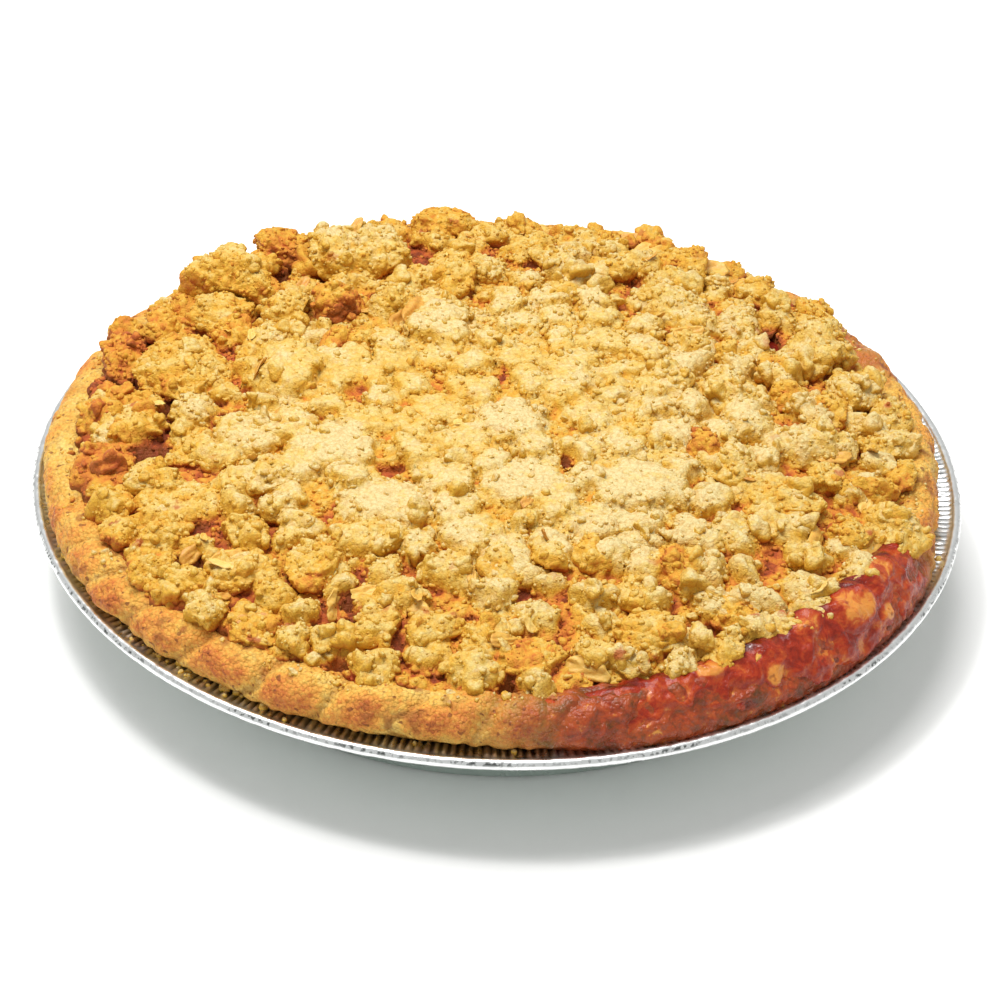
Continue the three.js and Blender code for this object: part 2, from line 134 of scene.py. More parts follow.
def grains(points, size, seed):
    """Rounded bumps about size apart: 1 on top of each, falling towards 0 in the creases."""
    at = points / size + 0.22 * waves(points, 0.6 * size, seed + 7)[:, None]
    low = np.floor(at).astype(np.int64)
    nearest = np.full(len(points), 9.0)
    for step in np.ndindex(3, 3, 3):
        cell = low + step - 1
        centre = cell + np.stack([lattice(cell, seed + axis) for axis in range(3)], 1)
        nearest = np.minimum(nearest, ((at - centre) ** 2).sum(1))
    return 1 - np.clip(nearest, 0, 1)


GRANULE = 4.6                    # width of the crumb's coarse granules


def crumbly(points, seed, coarse=GRANULE, amount=1.0):
    """How far crumb sticks out at points, and its creases: fused granules of three sizes."""
    big = grains(points, coarse, seed)
    middle = grains(points, 0.5 * coarse, seed + 20)
    small = grains(points, 1.25, seed + 40)
    out = 2.1 * (big - 0.66) + 1.2 * (middle - 0.66) + 0.5 * (small - 0.66)
    # The crease drives painted shade in the crumb's and the crust's colour
    crease = 0.2 * smoothstep(0.5, 0.15, middle) + 0.8 * smoothstep(0.45, 0.05, big)
    return amount * out * coarse / GRANULE, crease


def chipped(unit, seed, cuts):
    """A round ball's points with flat facets broken off it."""
    random = seeded(seed)
    reach = np.ones(len(unit))
    for _ in range(cuts):
        facing = np.array([random() - 0.5, random() - 0.5, 0.8 * random() - 0.25])
        facing = facing / np.linalg.norm(facing)
        far = 0.6 + 0.28 * random()
        reach = np.minimum(reach, far / np.maximum(unit @ facing, far))
    return unit * reach[:, None]


def smoothstep(low, high, value):
    share = np.clip((value - low) / (high - low), 0, 1)
    return share * share * (3 - 2 * share)


def between(value, start, full, last, end):
    """0 up to start, 1 from full to last, and 0 again from end."""
    return smoothstep(start, full, value) * smoothstep(end, last, value)


def wrap_degrees(angle):
    return (angle % 360 + 540) % 360 - 180


def around(angle, middle, none, full):
    """1 within full degrees of the middle angle, falling to 0 at none degrees off it."""
    return smoothstep(none, full, np.abs(wrap_degrees(angle - middle)))


def bearing(x, y):
    """The angle in degrees round the pie."""
    return np.degrees(np.arctan2(y, x - PIE_SHIFT))


def share_out(x, y):
    """How far out a place lies, as a share of the topping's radius."""
    return np.hypot(x - PIE_SHIFT, y) / TOPPING_RADIUS


def spaced(points):
    """x, y and z of points as columns."""
    return points[:, 0], points[:, 1], points[:, 2]


# --- Meshes -----------------------------------------------------------------

def band(faces, start_a, count_a, start_b, count_b):
    """Joins two rings, whose counts may differ, with triangles. One point is a pole."""
    a = 1 if count_a == 1 else 0
    b = 1 if count_b == 1 else 0
    while a < count_a or b < count_b:
        next_a = (a + 1) / count_a if a < count_a else math.inf
        next_b = (b + 1) / count_b if b < count_b else math.inf
        corner_a = start_a + a % count_a
        corner_b = start_b + b % count_b
        if next_a <= next_b:
            a += 1
            faces.append((corner_a, start_a + a % count_a, corner_b))
        else:
            b += 1
            faces.append((corner_a, start_b + b % count_b, corner_b))


def skin(rings):
    """One closed surface from rings that run from the underside outwards and over the top."""
    faces = []
    start = 0
    for row, ring in enumerate(rings):
        if row:
            band(faces, start - len(rings[row - 1]), len(rings[row - 1]), start, len(ring))
        start += len(ring)
    return np.concatenate(rings), np.array(faces)


def turns(sides):
    return np.arange(sides) / sides * 360


def ring(radius, height, sides, shift=PIE_SHIFT):
    """A ring of points; radius and height may change along it."""
    angle = np.radians(turns(sides))
    flat = np.ones(sides)
    return np.stack([shift + radius * np.cos(angle), radius * np.sin(angle), height * flat], 1)


def normals(points, faces):
    """The outward direction at each point."""
    corner = points[faces]
    across = np.cross(corner[:, 1] - corner[:, 0], corner[:, 2] - corner[:, 0])
    total = np.stack([
        np.bincount(faces.ravel(), np.repeat(across[:, axis], 3), len(points))
        for axis in range(3)], 1)
    return total / np.maximum(np.linalg.norm(total, axis=1, keepdims=True), 1e-12)


def padded(values, first, count):
    """Values for the points from first on, and nought for all others."""
    full = np.zeros(count)
    full[first:first + len(values)] = values
    return full


def put(name, data):
    """A new object in the scene."""
    thing = bpy.data.objects.new(name, data)
    bpy.context.scene.collection.objects.link(thing)
    return thing


def make_piece(name, points, faces, material, **values):
    """A smooth mesh object from points in millimetres, with one number a point for each value."""
    mesh = bpy.data.meshes.new(name)
    mesh.from_pydata((points * MM).tolist(), [], faces.tolist())
    mesh.polygons.foreach_set("use_smooth", np.ones(len(mesh.polygons), bool))
    for key, numbers in values.items():
        layer = mesh.attributes.new(key, "FLOAT", "POINT")
        layer.data.foreach_set("value", np.broadcast_to(numbers, len(points)).astype(np.float32))
    mesh.materials.append(material)
    return put(name, mesh)


def piece_from(name, part, material):
    """A mesh object from (points, faces, values)."""
    points, faces, values = part
    return make_piece(name, points, faces, material, **values)


def merged(parts):
    """Several (points, faces, values) as one."""
    points, faces, start = [], [], 0
    for part_points, part_faces, _ in parts:
        points.append(part_points)
        faces.append(part_faces + start)
        start += len(part_points)
    values = {key: np.concatenate([part[2][key] for part in parts]) for key in parts[0][2]}
    return np.concatenate(points), np.concatenate(faces), values


BALLS = {}


def ball(level):
    """The points and faces of a round ball of radius 1."""
    if level not in BALLS:
        shape = bmesh.new()
        bmesh.ops.create_icosphere(shape, subdivisions=level, radius=1)
        points = np.array([corner.co[:] for corner in shape.verts])
        faces = np.array([[corner.index for corner in face.verts] for face in shape.faces])
        shape.free()
        BALLS[level] = points, faces
    return BALLS[level]


# --- Materials --------------------------------------------------------------

MIX, MATH, VECTOR, RANGE, RAMP = (
    "ShaderNodeMix", "ShaderNodeMath", "ShaderNodeVectorMath", "ShaderNodeMapRange",
    "ShaderNodeValToRGB")
NOISE, CELLS, BUMP = "ShaderNodeTexNoise", "ShaderNodeTexVoronoi", "ShaderNodeBump"
PLACE, PARTS, READ = "ShaderNodeTexCoord", "ShaderNodeSeparateXYZ", "ShaderNodeAttribute"


def rgb(code):
    """Linear colour of an sRGB hex value."""
    parts = [int(code[at:at + 2], 16) / 255 for at in (1, 3, 5)]
    return [p / 12.92 if p <= 0.04045 else ((p + 0.055) / 1.055) ** 2.4 for p in parts] + [1]


def add(tree, kind, inputs=(), **settings):
    """Adds a node. Inputs go by order or by name, and are values, sockets, or nodes whose
    first output is linked; stops are a colour ramp's (place, hex) pairs."""
    node = tree.nodes.new(kind)
    stops = settings.pop("stops", ())
    for key, value in settings.items():
        setattr(node, key, value)
    for at, (place, code) in enumerate(stops):
        elements = node.color_ramp.elements
        stop = elements[at] if at < len(elements) else elements.new(place)
        stop.position = place
        stop.color = rgb(code)
    sockets = [socket for socket in node.inputs if socket.enabled]
    named = {socket.name: socket for socket in reversed(sockets)}
    for key, value in inputs.items() if isinstance(inputs, dict) else enumerate(inputs):
        target = named[key] if isinstance(key, str) else sockets[key]
        if isinstance(value, bpy.types.Node):
            value = next(socket for socket in value.outputs if socket.enabled)
        if isinstance(value, bpy.types.NodeSocket):
            tree.links.new(value, target)
        else:
            target.default_value = value
    return node


def new_material(name):
    """A material, its tree and the place on the object that its patterns go by."""
    material = bpy.data.materials.new(name)
    material.use_nodes = True
    tree = material.node_tree
    tree.nodes.clear()
    return material, tree, add(tree, PLACE).outputs["Object"]


def finish_material(tree, colour, **inputs):
    """Adds the surface shader with its inputs, named with _ for a space."""
    values = {key.replace("_", " "): value for key, value in inputs.items()}
    shader = add(tree, "ShaderNodeBsdfPrincipled", {"Base Color": colour, **values})
    add(tree, "ShaderNodeOutputMaterial", {"Surface": shader})


def above_dome(tree, place):
    """How far a point lies above the topping's even dome, in millimetres."""
    centred = add(tree, VECTOR, (place, (-PIE_SHIFT * MM, 0, 0)), operation="ADD")
    flat = add(tree, VECTOR, (centred, (1, 1, 0)), operation="MULTIPLY")
    reach = add(tree, VECTOR, (flat,), operation="LENGTH").outputs["Value"]
    share = add(tree, MATH, (reach, TOPPING_RADIUS * MM), operation="DIVIDE")
    fall = add(tree, MATH, (share, DOME_POWER), operation="POWER")
    height = add(tree, MATH, (add(tree, PARTS, (place,)).outputs["Z"], MM), operation="DIVIDE")
    level = add(tree, MATH, (fall, TOPPING_CENTRE - TOPPING_EDGE, height),
                operation="MULTIPLY_ADD")
    return add(tree, MATH, (level, TOPPING_CENTRE), operation="SUBTRACT")


def blotches(tree, place, size, detail, start, stop, low=0, high=1, **shape):
    """Blotches about size millimetres across: low where their noise is under start, and
    high where it is over stop."""
    noise = add(tree, NOISE, {"Vector": place, "Scale": 1 / (size * MM), "Detail": detail,
                              **shape})
    return add(tree, RANGE, (noise, start, stop, low, high))


def granules(tree, place, size):
    """Cells about size millimetres across, bent out of round: their distance and a shade."""
    swirl = add(tree, NOISE, {"Vector": place, "Scale": 1 / (size * MM), "Detail": 1.0})
    bent = add(tree, VECTOR, (swirl.outputs["Color"], (0.7 * size * MM,) * 3, place),
               operation="MULTIPLY_ADD")
    cells = add(tree, CELLS, {"Vector": bent, "Scale": 1 / (size * MM)})
    shade = add(tree, "ShaderNodeSeparateColor", (cells.outputs["Color"],))
    return cells, shade


def shaded(tree, level, changes):
    """A level with a change for each of several sources. Each change is the source, its
    low and high, and what is added to the level there."""
    for change in changes:
        change = add(tree, RANGE, change)
        level = add(tree, MATH, (level, change), operation="ADD")
    return level


def layered(tree, colour, *layers):
    """A colour with tints over it. Each layer is its share and its hex value."""
    for share, tint in layers:
        colour = add(tree, MIX, (share, colour, rgb(tint)), data_type="RGBA")
    return colour


def painted_seam_shade(tree, grain, deepest, sand, sand_range, fading):
    """Painted shade between a baked surface's granules, which have sand on them: how dark it
    is there. Fading is the share of it that is left in each place."""
    seam = add(tree, RANGE, (grain, 0.3, 0.85, 0, deepest))
    seam = add(tree, MATH, (add(tree, RANGE, (sand, *sand_range)), seam), operation="ADD",
               use_clamp=True)
    return add(tree, MATH, (seam, fading), operation="MULTIPLY")


def baked_crumb():
    """Baked butter crumb: flour, sugar and fat. Matt and sandy: every grain has its own
    shade. Painted shade: cream on top, gold on the sides and dark brown low down in the creases."""
    material, tree, place = new_material("baked_crumb")
    facing = add(tree, PARTS, (add(tree, PLACE).outputs["Normal"],)).outputs["Z"]
    grain, grain_shade = granules(tree, place, 1.1)
    _, clot_shade = granules(tree, place, 2.6)
    patch = add(tree, NOISE, {"Vector": place, "Scale": 1 / (6 * MM), "Detail": 3.0,
                              "Roughness": 0.6})
    toast, tone, crease, juice = [add(tree, READ, attribute_name=key).outputs["Fac"]
                                  for key in ("toast", "tone", "crease", "juice")]
    # Painted shade: browner on faces that turn sideways or down, low below the dome and in
    # creases
    level = shaded(tree, toast, (
        (patch, 0.3, 0.7, -0.13, 0.13), (grain_shade, 0, 1, -0.08, 0.08),
        (clot_shade, 0, 1, -0.06, 0.06), (tone, 0, 1, -0.1, 0.08),
        (facing, 0.15, 0.95, 0.18, -0.07), (above_dome(tree, place), -0.7, -3.6, 0, 0.68),
        (crease, 0, 1, 0, 0.45)))
    colour = add(tree, RAMP, (level,), stops=(
        (0.0, "#d7c992"), (0.2, "#d6be6e"), (0.42, "#d6a638"), (0.62, "#cc7b2a"),
        (0.82, "#ab4c20"), (1.0, "#782c14")))
    unbrowned = add(tree, RANGE, (level, 0.45, 0.75, 1, 0.15))
    # Painted shade: a gold tint on faces that turn sideways or down, less where already brown
    side = add(tree, RANGE, (facing, 0.3, 1, 0.8, 0))
    side = add(tree, MATH, (side, unbrowned), operation="MULTIPLY")
    sand = add(tree, NOISE, {"Vector": place, "Scale": 1 / (0.5 * MM), "Detail": 2.0,
                             "Roughness": 0.7})
    # Painted shade between the granules
    seam = painted_seam_shade(tree, grain, 0.38, sand, (0.3, 0.62, 0.34, -0.08), unbrowned)
    # Brown specks of spice, under a millimetre across, in clusters
    clusters = blotches(tree, place, 9, 1.0, 0.45, 0.65)
    speck = blotches(tree, place, 0.9, 0.0, 0.75, 0.82, 0, 0.2)
    speck = add(tree, MATH, (speck, clusters), operation="MULTIPLY")
    # Where juice has bubbled through: red-brown spots of a few millimetres
    cells = add(tree, CELLS, {"Vector": place, "Scale": 1 / (8 * MM)})
    chosen = add(tree, "ShaderNodeSeparateColor", (cells.outputs["Color"],))
    chosen = add(tree, RANGE, (chosen, 0.78, 0.8))
    ragged = add(tree, NOISE, {"Vector": place, "Scale": 1 / (1.6 * MM), "Detail": 2.0})
    ragged = add(tree, MATH, (ragged, 0.5, cells), operation="MULTIPLY_ADD")
    near = add(tree, RANGE, (ragged, 0.38, 0.5, 0.85, 0))
    spot = add(tree, MATH, (chosen, near), operation="MULTIPLY")
    spot = add(tree, MATH, (spot, juice), operation="MULTIPLY")
    colour = layered(tree, colour, (side, "#dcaa30"), (seam, "#bd8128"), (speck, "#8e4c20"),
                     (spot, "#a8401c"))
    hollow = add(tree, MATH, (grain, 2), operation="POWER")
    height = add(tree, MATH, (sand, 1.6), operation="MULTIPLY")
    height = add(tree, MATH, (height, hollow), operation="SUBTRACT")
    bump = add(tree, BUMP, {"Height": height, "Strength": 0.75, "Distance": 0.4 * MM})
    finish_material(tree, colour, Roughness=0.66, Specular_IOR_Level=0.3, Normal=bump)
    return material


def baked_pastry():
    """Baked shortcrust: butter pastry, pale gold where thin, browned on the crimps.
    Matt with a faint sheen of fat, and stained red beside the filling; painted shade darkens
    its creases, the valleys between crimps and the seams between its granules."""
    material, tree, place = new_material("baked_pastry")
    patch = add(tree, NOISE, {"Vector": place, "Scale": 1 / (9 * MM), "Detail": 4.0,
                              "Roughness": 0.62})
    fine = add(tree, NOISE, {"Vector": place, "Scale": 1 / (1.1 * MM), "Detail": 4.0,
                             "Roughness": 0.7})
    grain, grain_shade = granules(tree, place, 0.9)
    toast, crease, stain = [add(tree, READ, attribute_name=key).outputs["Fac"]
                            for key in ("toast", "crease", "stain")]
    level = shaded(tree, toast, (
        (patch, 0.3, 0.7, -0.24, 0.24), (fine, 0.3, 0.7, -0.14, 0.14),
        (grain_shade, 0, 1, -0.1, 0.1)))
    colour = add(tree, RAMP, (level,), stops=(
        (0.0, "#e7cb72"), (0.3, "#dfb04c"), (0.55, "#de963c"), (0.78, "#c06929"),
        (1.0, "#793815")))
    # Painted shade in the creases and the valleys between crimps
    crease = add(tree, MATH, (crease, 0.7), operation="MULTIPLY")
    colour = layered(tree, colour, (crease, "#864418"))
    uneven = add(tree, NOISE, {"Vector": place, "Scale": 1 / (5 * MM), "Detail": 6.0,
                               "Roughness": 0.68, "Distortion": 0.5})
    soaked = add(tree, RAMP, (uneven,), stops=(
        (0.34, "#380e08"), (0.44, "#6d190a"), (0.53, "#8f2712"), (0.61, "#a03b19"),
        (0.68, "#cf8a34")))
    stain = add(tree, MATH, (stain, 0.92), operation="MULTIPLY")
    colour = add(tree, MIX, (stain, colour, soaked), data_type="RGBA")
    speck = blotches(tree, place, 1.6, 0.0, 0.72, 0.78, 0, 0.75)
    unstained = add(tree, RANGE, (stain, 0, 0.9, 1, 0.2))
    # Painted shade between the granules, less where stained
    seam = painted_seam_shade(tree, grain, 0.25, fine, (0.35, 0.6, 0.22, -0.08), unstained)
    colour = layered(tree, colour, (speck, "#6f3415"), (seam, "#a35a1a"))
    hollow = add(tree, MATH, (grain, 2), operation="POWER")
    height = add(tree, MATH, (fine, hollow), operation="SUBTRACT")
    strength = add(tree, RANGE, (stain, 0, 1, 0.9, 0.4))
    bump = add(tree, BUMP, {"Height": height, "Strength": strength, "Distance": 0.6 * MM})
    rough = add(tree, RANGE, (stain, 0, 1, 0.62, 0.26))
    finish_material(tree, colour, Roughness=rough, Specular_IOR_Level=0.35, Normal=bump)
    return material


def apple_jelly():
    """Cooked apple filling: thickened juice, wet and clear, amber over the apple and
    dark red where deep, so it shines and lets light through; painted shade darkens it
    further just under the crumb's edge."""
    material, tree, place = new_material("apple_jelly")
    swirl = blotches(tree, place, 4.5, 6.0, 0.34, 0.66, -0.26, 0.26, Roughness=0.66,
                     Distortion=0.8)
    depth = add(tree, READ, attribute_name="depth").outputs["Fac"]
    level = add(tree, MATH, (depth, swirl), operation="ADD")
    colour = add(tree, RAMP, (level,), stops=(
        (0.0, "#cf863a"), (0.22, "#b04a20"), (0.45, "#972c15"), (0.7, "#701b0f"),
        (1.0, "#380b06")))
    fleck = blotches(tree, place, 2.2, 1.0, 0.64, 0.74, 0, 0.6)
    colour = layered(tree, colour, (fleck, "#6b2413"))
    ripple = add(tree, NOISE, {"Vector": place, "Scale": 1 / (2.2 * MM), "Detail": 4.0,
                               "Roughness": 0.6, "Distortion": 0.4})
    bump = add(tree, BUMP, {"Height": ripple, "Strength": 0.8, "Distance": 0.8 * MM})
    wet = blotches(tree, place, 3, 3.0, 0.4, 0.6, 0.06, 0.32)
    finish_material(tree, colour, Roughness=wet, IOR=1.38, Specular_IOR_Level=0.25,
                    Coat_Weight=0.35, Coat_Roughness=0.04, Coat_IOR=1.36,
                    Subsurface_Weight=0.1, Subsurface_Radius=(1.0, 0.35, 0.15),
                    Subsurface_Scale=2 * MM, Normal=bump)
    return material


def rolled_oat():
    """Toasted rolled oats: thin flattened grains, golden, slightly waxy, with brown
    at their edges."""
    material, tree, place = new_material("rolled_oat")
    mottle = blotches(tree, place, 1.5, 3.0, 0.3, 0.7, -0.25, 0.25)
    tone = add(tree, READ, attribute_name="tone").outputs["Fac"]
    level = add(tree, MATH, (tone, mottle), operation="ADD")
    colour = add(tree, RAMP, (level,), stops=(
        (0.0, "#dcba66"), (0.5, "#d6a646"), (1.0, "#bd802e")))
    fine = add(tree, NOISE, {"Vector": place, "Scale": 1 / (0.7 * MM), "Detail": 3.0})
    bump = add(tree, BUMP, {"Height": fine, "Strength": 0.5, "Distance": 0.3 * MM})
    finish_material(tree, colour, Roughness=0.5, Subsurface_Weight=0.15,
                    Subsurface_Radius=(1.0, 0.7, 0.3), Subsurface_Scale=1.5 * MM, Normal=bump)
    return material


def aluminium_foil():
    """Aluminium foil, stamped and fluted: bright rolled metal, wrinkled, with a faint
    brown film of baked sugar where the pie has leaked on the flange. Painted shade darkens
    the flute valleys inside and the rolled edge's folds, and a painted grey-green
    reflection tints the lower wall."""
    material, tree, place = new_material("aluminium_foil")
    film, flute, groove = [add(tree, READ, attribute_name=key).outputs["Fac"]
                           for key in ("film", "flute", "groove")]
    patchy = blotches(tree, place, 4, 3.0, 0.35, 0.6, 0.2, 1)
    film = add(tree, MATH, (film, patchy), operation="MULTIPLY")
    height = add(tree, PARTS, (place,)).outputs["Z"]
    # Painted reflection and shade: the lower wall is tinted grey-green
    wall = add(tree, RANGE, (height, 27.5 * MM, 26 * MM))
    # The rolled edge's folds: painted shade as dark nicks about a millimetre long, unevenly
    # spread
    painted_fold_shade = blotches(tree, place, 1.3, 2.0, 0.5, 0.6)
    painted_fold_shade = add(tree, MATH, (groove, painted_fold_shade), operation="MULTIPLY")
    colour = layered(tree, rgb("#eceeed"), (wall, "#bccac3"), (film, "#8a5a32"),
                     (flute, "#3f4341"), (painted_fold_shade, "#2f3633"))
    dull = blotches(tree, place, 3, 3.0, 0.3, 0.7, 0.24, 0.4)
    crumple = add(tree, NOISE, {"Vector": place, "Scale": 1 / (2.2 * MM), "Detail": 3.0,
                                "Roughness": 0.6})
    bump = add(tree, BUMP, {"Height": crumple, "Strength": 0.35, "Distance": 0.3 * MM})
    finish_material(tree, colour, Metallic=1.0, Roughness=dull, Normal=bump)
    return material


# --- The foil pan -----------------------------------------------------------

def arc(centre_r, centre_z, radius, start, stop, steps):
    angle = np.radians(np.linspace(start, stop, steps + 1))
    return [(centre_r + radius * math.cos(a), centre_z + radius * math.sin(a)) for a in angle]


def along(start, stop, steps):
    """Points between two profile points, without the first."""
    return [tuple(np.add(start, np.subtract(stop, start) * k / steps))
            for k in range(1, steps + 1)]


FOLD_ROW = 12.5                  # the row of the bead that its folds show on


def foil_pan(material):
    """The pan turned round its axis: wall, flange and rolled bead, then back down inside."""
    bead_r = PAN_RIM_RADIUS - BEAD_RADIUS
    bead_z = PAN_FLANGE_HEIGHT + 0.3
    slope = math.atan2(PAN_FLANGE_HEIGHT, PAN_FLANGE_RADIUS - PAN_BASE_RADIUS)
    lean = math.degrees(slope) - 90
    corner_r = PAN_BASE_RADIUS - BASE_CORNER * math.tan(slope / 2)
    wall = PAN_WALL / 2
    outer_edge = (PAN_FLANGE_RADIUS + wall, PAN_FLANGE_HEIGHT - wall)
    inner_edge = (PAN_FLANGE_RADIUS, PAN_FLANGE_HEIGHT)
    outer_corner = arc(corner_r, BASE_CORNER, BASE_CORNER, -90, lean, 5)
    inner_corner = arc(corner_r, BASE_CORNER, BASE_CORNER - wall, lean, -90, 5)
    bead = arc(bead_r, bead_z, BEAD_RADIUS, -150, 150, 20)
    profile = [(0, 0), (45, 0)] + outer_corner
    profile += along(outer_corner[-1], outer_edge, WALL_STEPS)
    profile += along(outer_edge, bead[0], 5)
    first_bead = len(profile) - 1
    profile += bead[1:]
    last_bead = len(profile) - 1
    profile += along(bead[-1], inner_edge, 8)
    profile += along(inner_edge, inner_corner[0], WALL_STEPS) + inner_corner[1:]
    profile += [(45, wall), (0, wall)]
    rings, films, grooves, painted_flute_shade = [], [], [], []
    for row, (r, z) in enumerate(profile):
        fluted = smoothstep(14, 27, z) * smoothstep(bead_r - 0.9, bead_r - 3, r)
        on_bead = first_bead <= row <= last_bead
        sides = 1 if r == 0 else FLUTES * 4 if z > 19 else FLUTES
        angle = turns(sides)
        place = ring(r, z, sides, 0)
        # Radial flutes, uneven in depth, pressed where the foil was gathered
        level = place * [1, 1, 0]
        sway = waves(level, 9, 3)
        flute = np.cos(np.radians(angle * FLUTES) + 1.6 * sway)
        depth = 0.6 * (0.6 + 0.4 * waves(level, 11, 5))
        shape = depth * fluted * flute
        wrinkle = 0.14 * fluted * waves(level, 1.6, 6)
        up = (shape + wrinkle) * (1 if row > last_bead else 0.85)
        out = -0.35 * up if z < PAN_FLANGE_HEIGHT - 1 else 0 * up
        if on_bead:
            pinch = 0.18 * np.maximum(waves(place, 2.1, 8), 0)
            many = smoothstep(-0.3, 0.4, waves(place, 14, 9))
            beside = (row - first_bead - FOLD_ROW) / 1.3
            seam = math.exp(-beside ** 2) * (0.35 + 0.65 * many)
            inwards = pinch + 0.15 * seam
            tilt = np.array([place[0, 0] - bead_r, place[0, 2] - bead_z]) / BEAD_RADIUS
            out = out - inwards * tilt[0]
            up = up - inwards * tilt[1]
        rings.append(ring(r + out, z + up, sides, 0))
        # groove marks the bead's folds, where the foil's colour paints shade
        grooves.append(seam if on_bead else np.zeros(sides))
        inside = float(row > last_bead)
        # Painted shade in the valleys of the flutes inside the pan
        painted_flute_shade.append(0.8 * fluted * inside * smoothstep(0.1, -0.7, flute + 0.5 * sway))
        under_pie = inside * smoothstep(bead_r - 1, bead_r - 2.5, r)
        films.append(np.full(sides, under_pie))
    points, faces = skin(rings)
    x, y, _ = spaced(points)
    spilled = around(np.degrees(np.arctan2(y, x)), -72, 60, 20)
    film = np.concatenate(films) * (0.08 + 0.42 * spilled)
    return make_piece("foil_pan_fluted", points, faces, material, film=film,
                      groove=np.concatenate(grooves), flute=np.concatenate(painted_flute_shade))


# --- The crust --------------------------------------------------------------

FRONT_CRIMPS = [-159, -151, -143.5, -133, -123, -114, -105, -94, -84.5, -76]


def crimp_list():
    """Angle and size of each crimp: those that show in front, then an even pitch."""
    random = seeded(11)
    crimps = [(angle, 0.8 + 0.4 * random()) for angle in FRONT_CRIMPS]
    start = FRONT_CRIMPS[-1]
    open_angle = FRONT_CRIMPS[0] + 360 - start
    count = round(open_angle / CRIMP_PITCH)
    for step in range(1, count):
        angle = start + open_angle * (step + 0.3 * (random() - 0.5)) / count
        crimps.append((angle, 0.4 + 0.6 * random()))
    return np.array(crimps)


CRIMPS = crimp_list()


def crimp(angle):
    """From about -0.6 in a valley to 0.5 on top of a crimp, for many angles."""
    away = wrap_degrees(CRIMPS[None, :, 0] - angle[:, None])
    nearest = np.argmin(np.abs(away), axis=1)
    before = np.where(away <= 0, away, -np.inf).max(axis=1)
    after = np.where(away > 0, away, np.inf).min(axis=1)
    to_valley = np.minimum((after - before) / 2, CRIMP_PITCH)
    share = np.minimum(np.abs(away[np.arange(len(angle)), nearest]) / to_valley, 1)
    strong = np.exp(-((wrap_degrees(angle + 118) / 45) ** 2))
    weak = np.exp(-((wrap_degrees(angle - 175) / 22) ** 2))
    strength = (0.5 + 0.5 * strong) * (1 - 0.6 * weak)
    return (0.5 - 1.1 * share ** 2.4) * CRIMPS[nearest, 1] * strength


# The visible rim from its lower edge over the crest to its inner lip: radius,
# height, and its share of a crimp's bulge, of its rise and of the high side.
RIM_ROWS = np.array([
    (115.1, 29.6, 0.2, 0, 0),
    (117.4, 31.7, 0.6, 0, 0.1),
    (118.0, 34.6, 1, 0.2, 0.4),
    (116.6, 37.6, 0.9, 0.7, 0.8),
    (113.6, 39.5, 0.4, 1, 1),
    (109.4, 39.6, 0, 0.4, 0.8),
    (104.8, 37.2, 0, 0, 0.2),
])


BEAD_CLEARANCE = 3.6


def rim_row(row):
    """The rim's profile at a fraction of a row, on a smooth curve through the rows."""
    row = np.clip(row, 0, len(RIM_ROWS) - 1)
    low = np.clip(np.floor(row).astype(int), 0, len(RIM_ROWS) - 2)
    t = (row - low)[..., None]
    p0, p1 = RIM_ROWS[np.maximum(low - 1, 0)], RIM_ROWS[low]
    p2, p3 = RIM_ROWS[low + 1], RIM_ROWS[np.minimum(low + 2, len(RIM_ROWS) - 1)]
    return 0.5 * (2 * p1 + (p2 - p0) * t + (2 * p0 - 5 * p1 + 4 * p2 - p3) * t ** 2
                  + (3 * p1 - p0 - 3 * p2 + p3) * t ** 3)


def rim_surface(row, angle):
    """Points on the rim for arrays of rows and angles; crimps lean a little as they rise."""
    profile = rim_row(row)
    soaked = between(angle, -90, -70, -22, -8)
    turn = np.radians(angle)
    way = np.stack([TOPPING_RADIUS * np.cos(turn), TOPPING_RADIUS * np.sin(turn), 4 * row], 1)
    bent = angle - 0.9 * (row - 2.5) + 1.5 * waves(way, 9, 29)
    bump = crimp(bent) * (1 - 0.75 * soaked)
    r = profile[:, 0] + CRIMP_OUT * profile[:, 2] * bump
    beside_bead = PAN_RIM_RADIUS - BEAD_CLEARANCE - PIE_SHIFT * np.cos(turn)
    r = r + soaked * smoothstep(2.8, 0.9, row) * np.maximum(beside_bead - r, 0)
    high = np.cos(np.radians(angle - HIGH_SIDE))
    z = profile[:, 1] + CRIMP_UP * profile[:, 3] * bump + CREST_LEAN * profile[:, 4] * high
    z = z - 0.5 * soaked * smoothstep(1.0, 0.0, row)
    return np.stack([PIE_SHIFT + r * np.cos(turn), r * np.sin(turn), z], 1), bump


def wall_radius(z, inwards):
    """Radius of the pan's wall at height z, less inwards."""
    slope = (PAN_FLANGE_RADIUS - PAN_BASE_RADIUS) / PAN_FLANGE_HEIGHT
    return PAN_BASE_RADIUS + slope * z - inwards


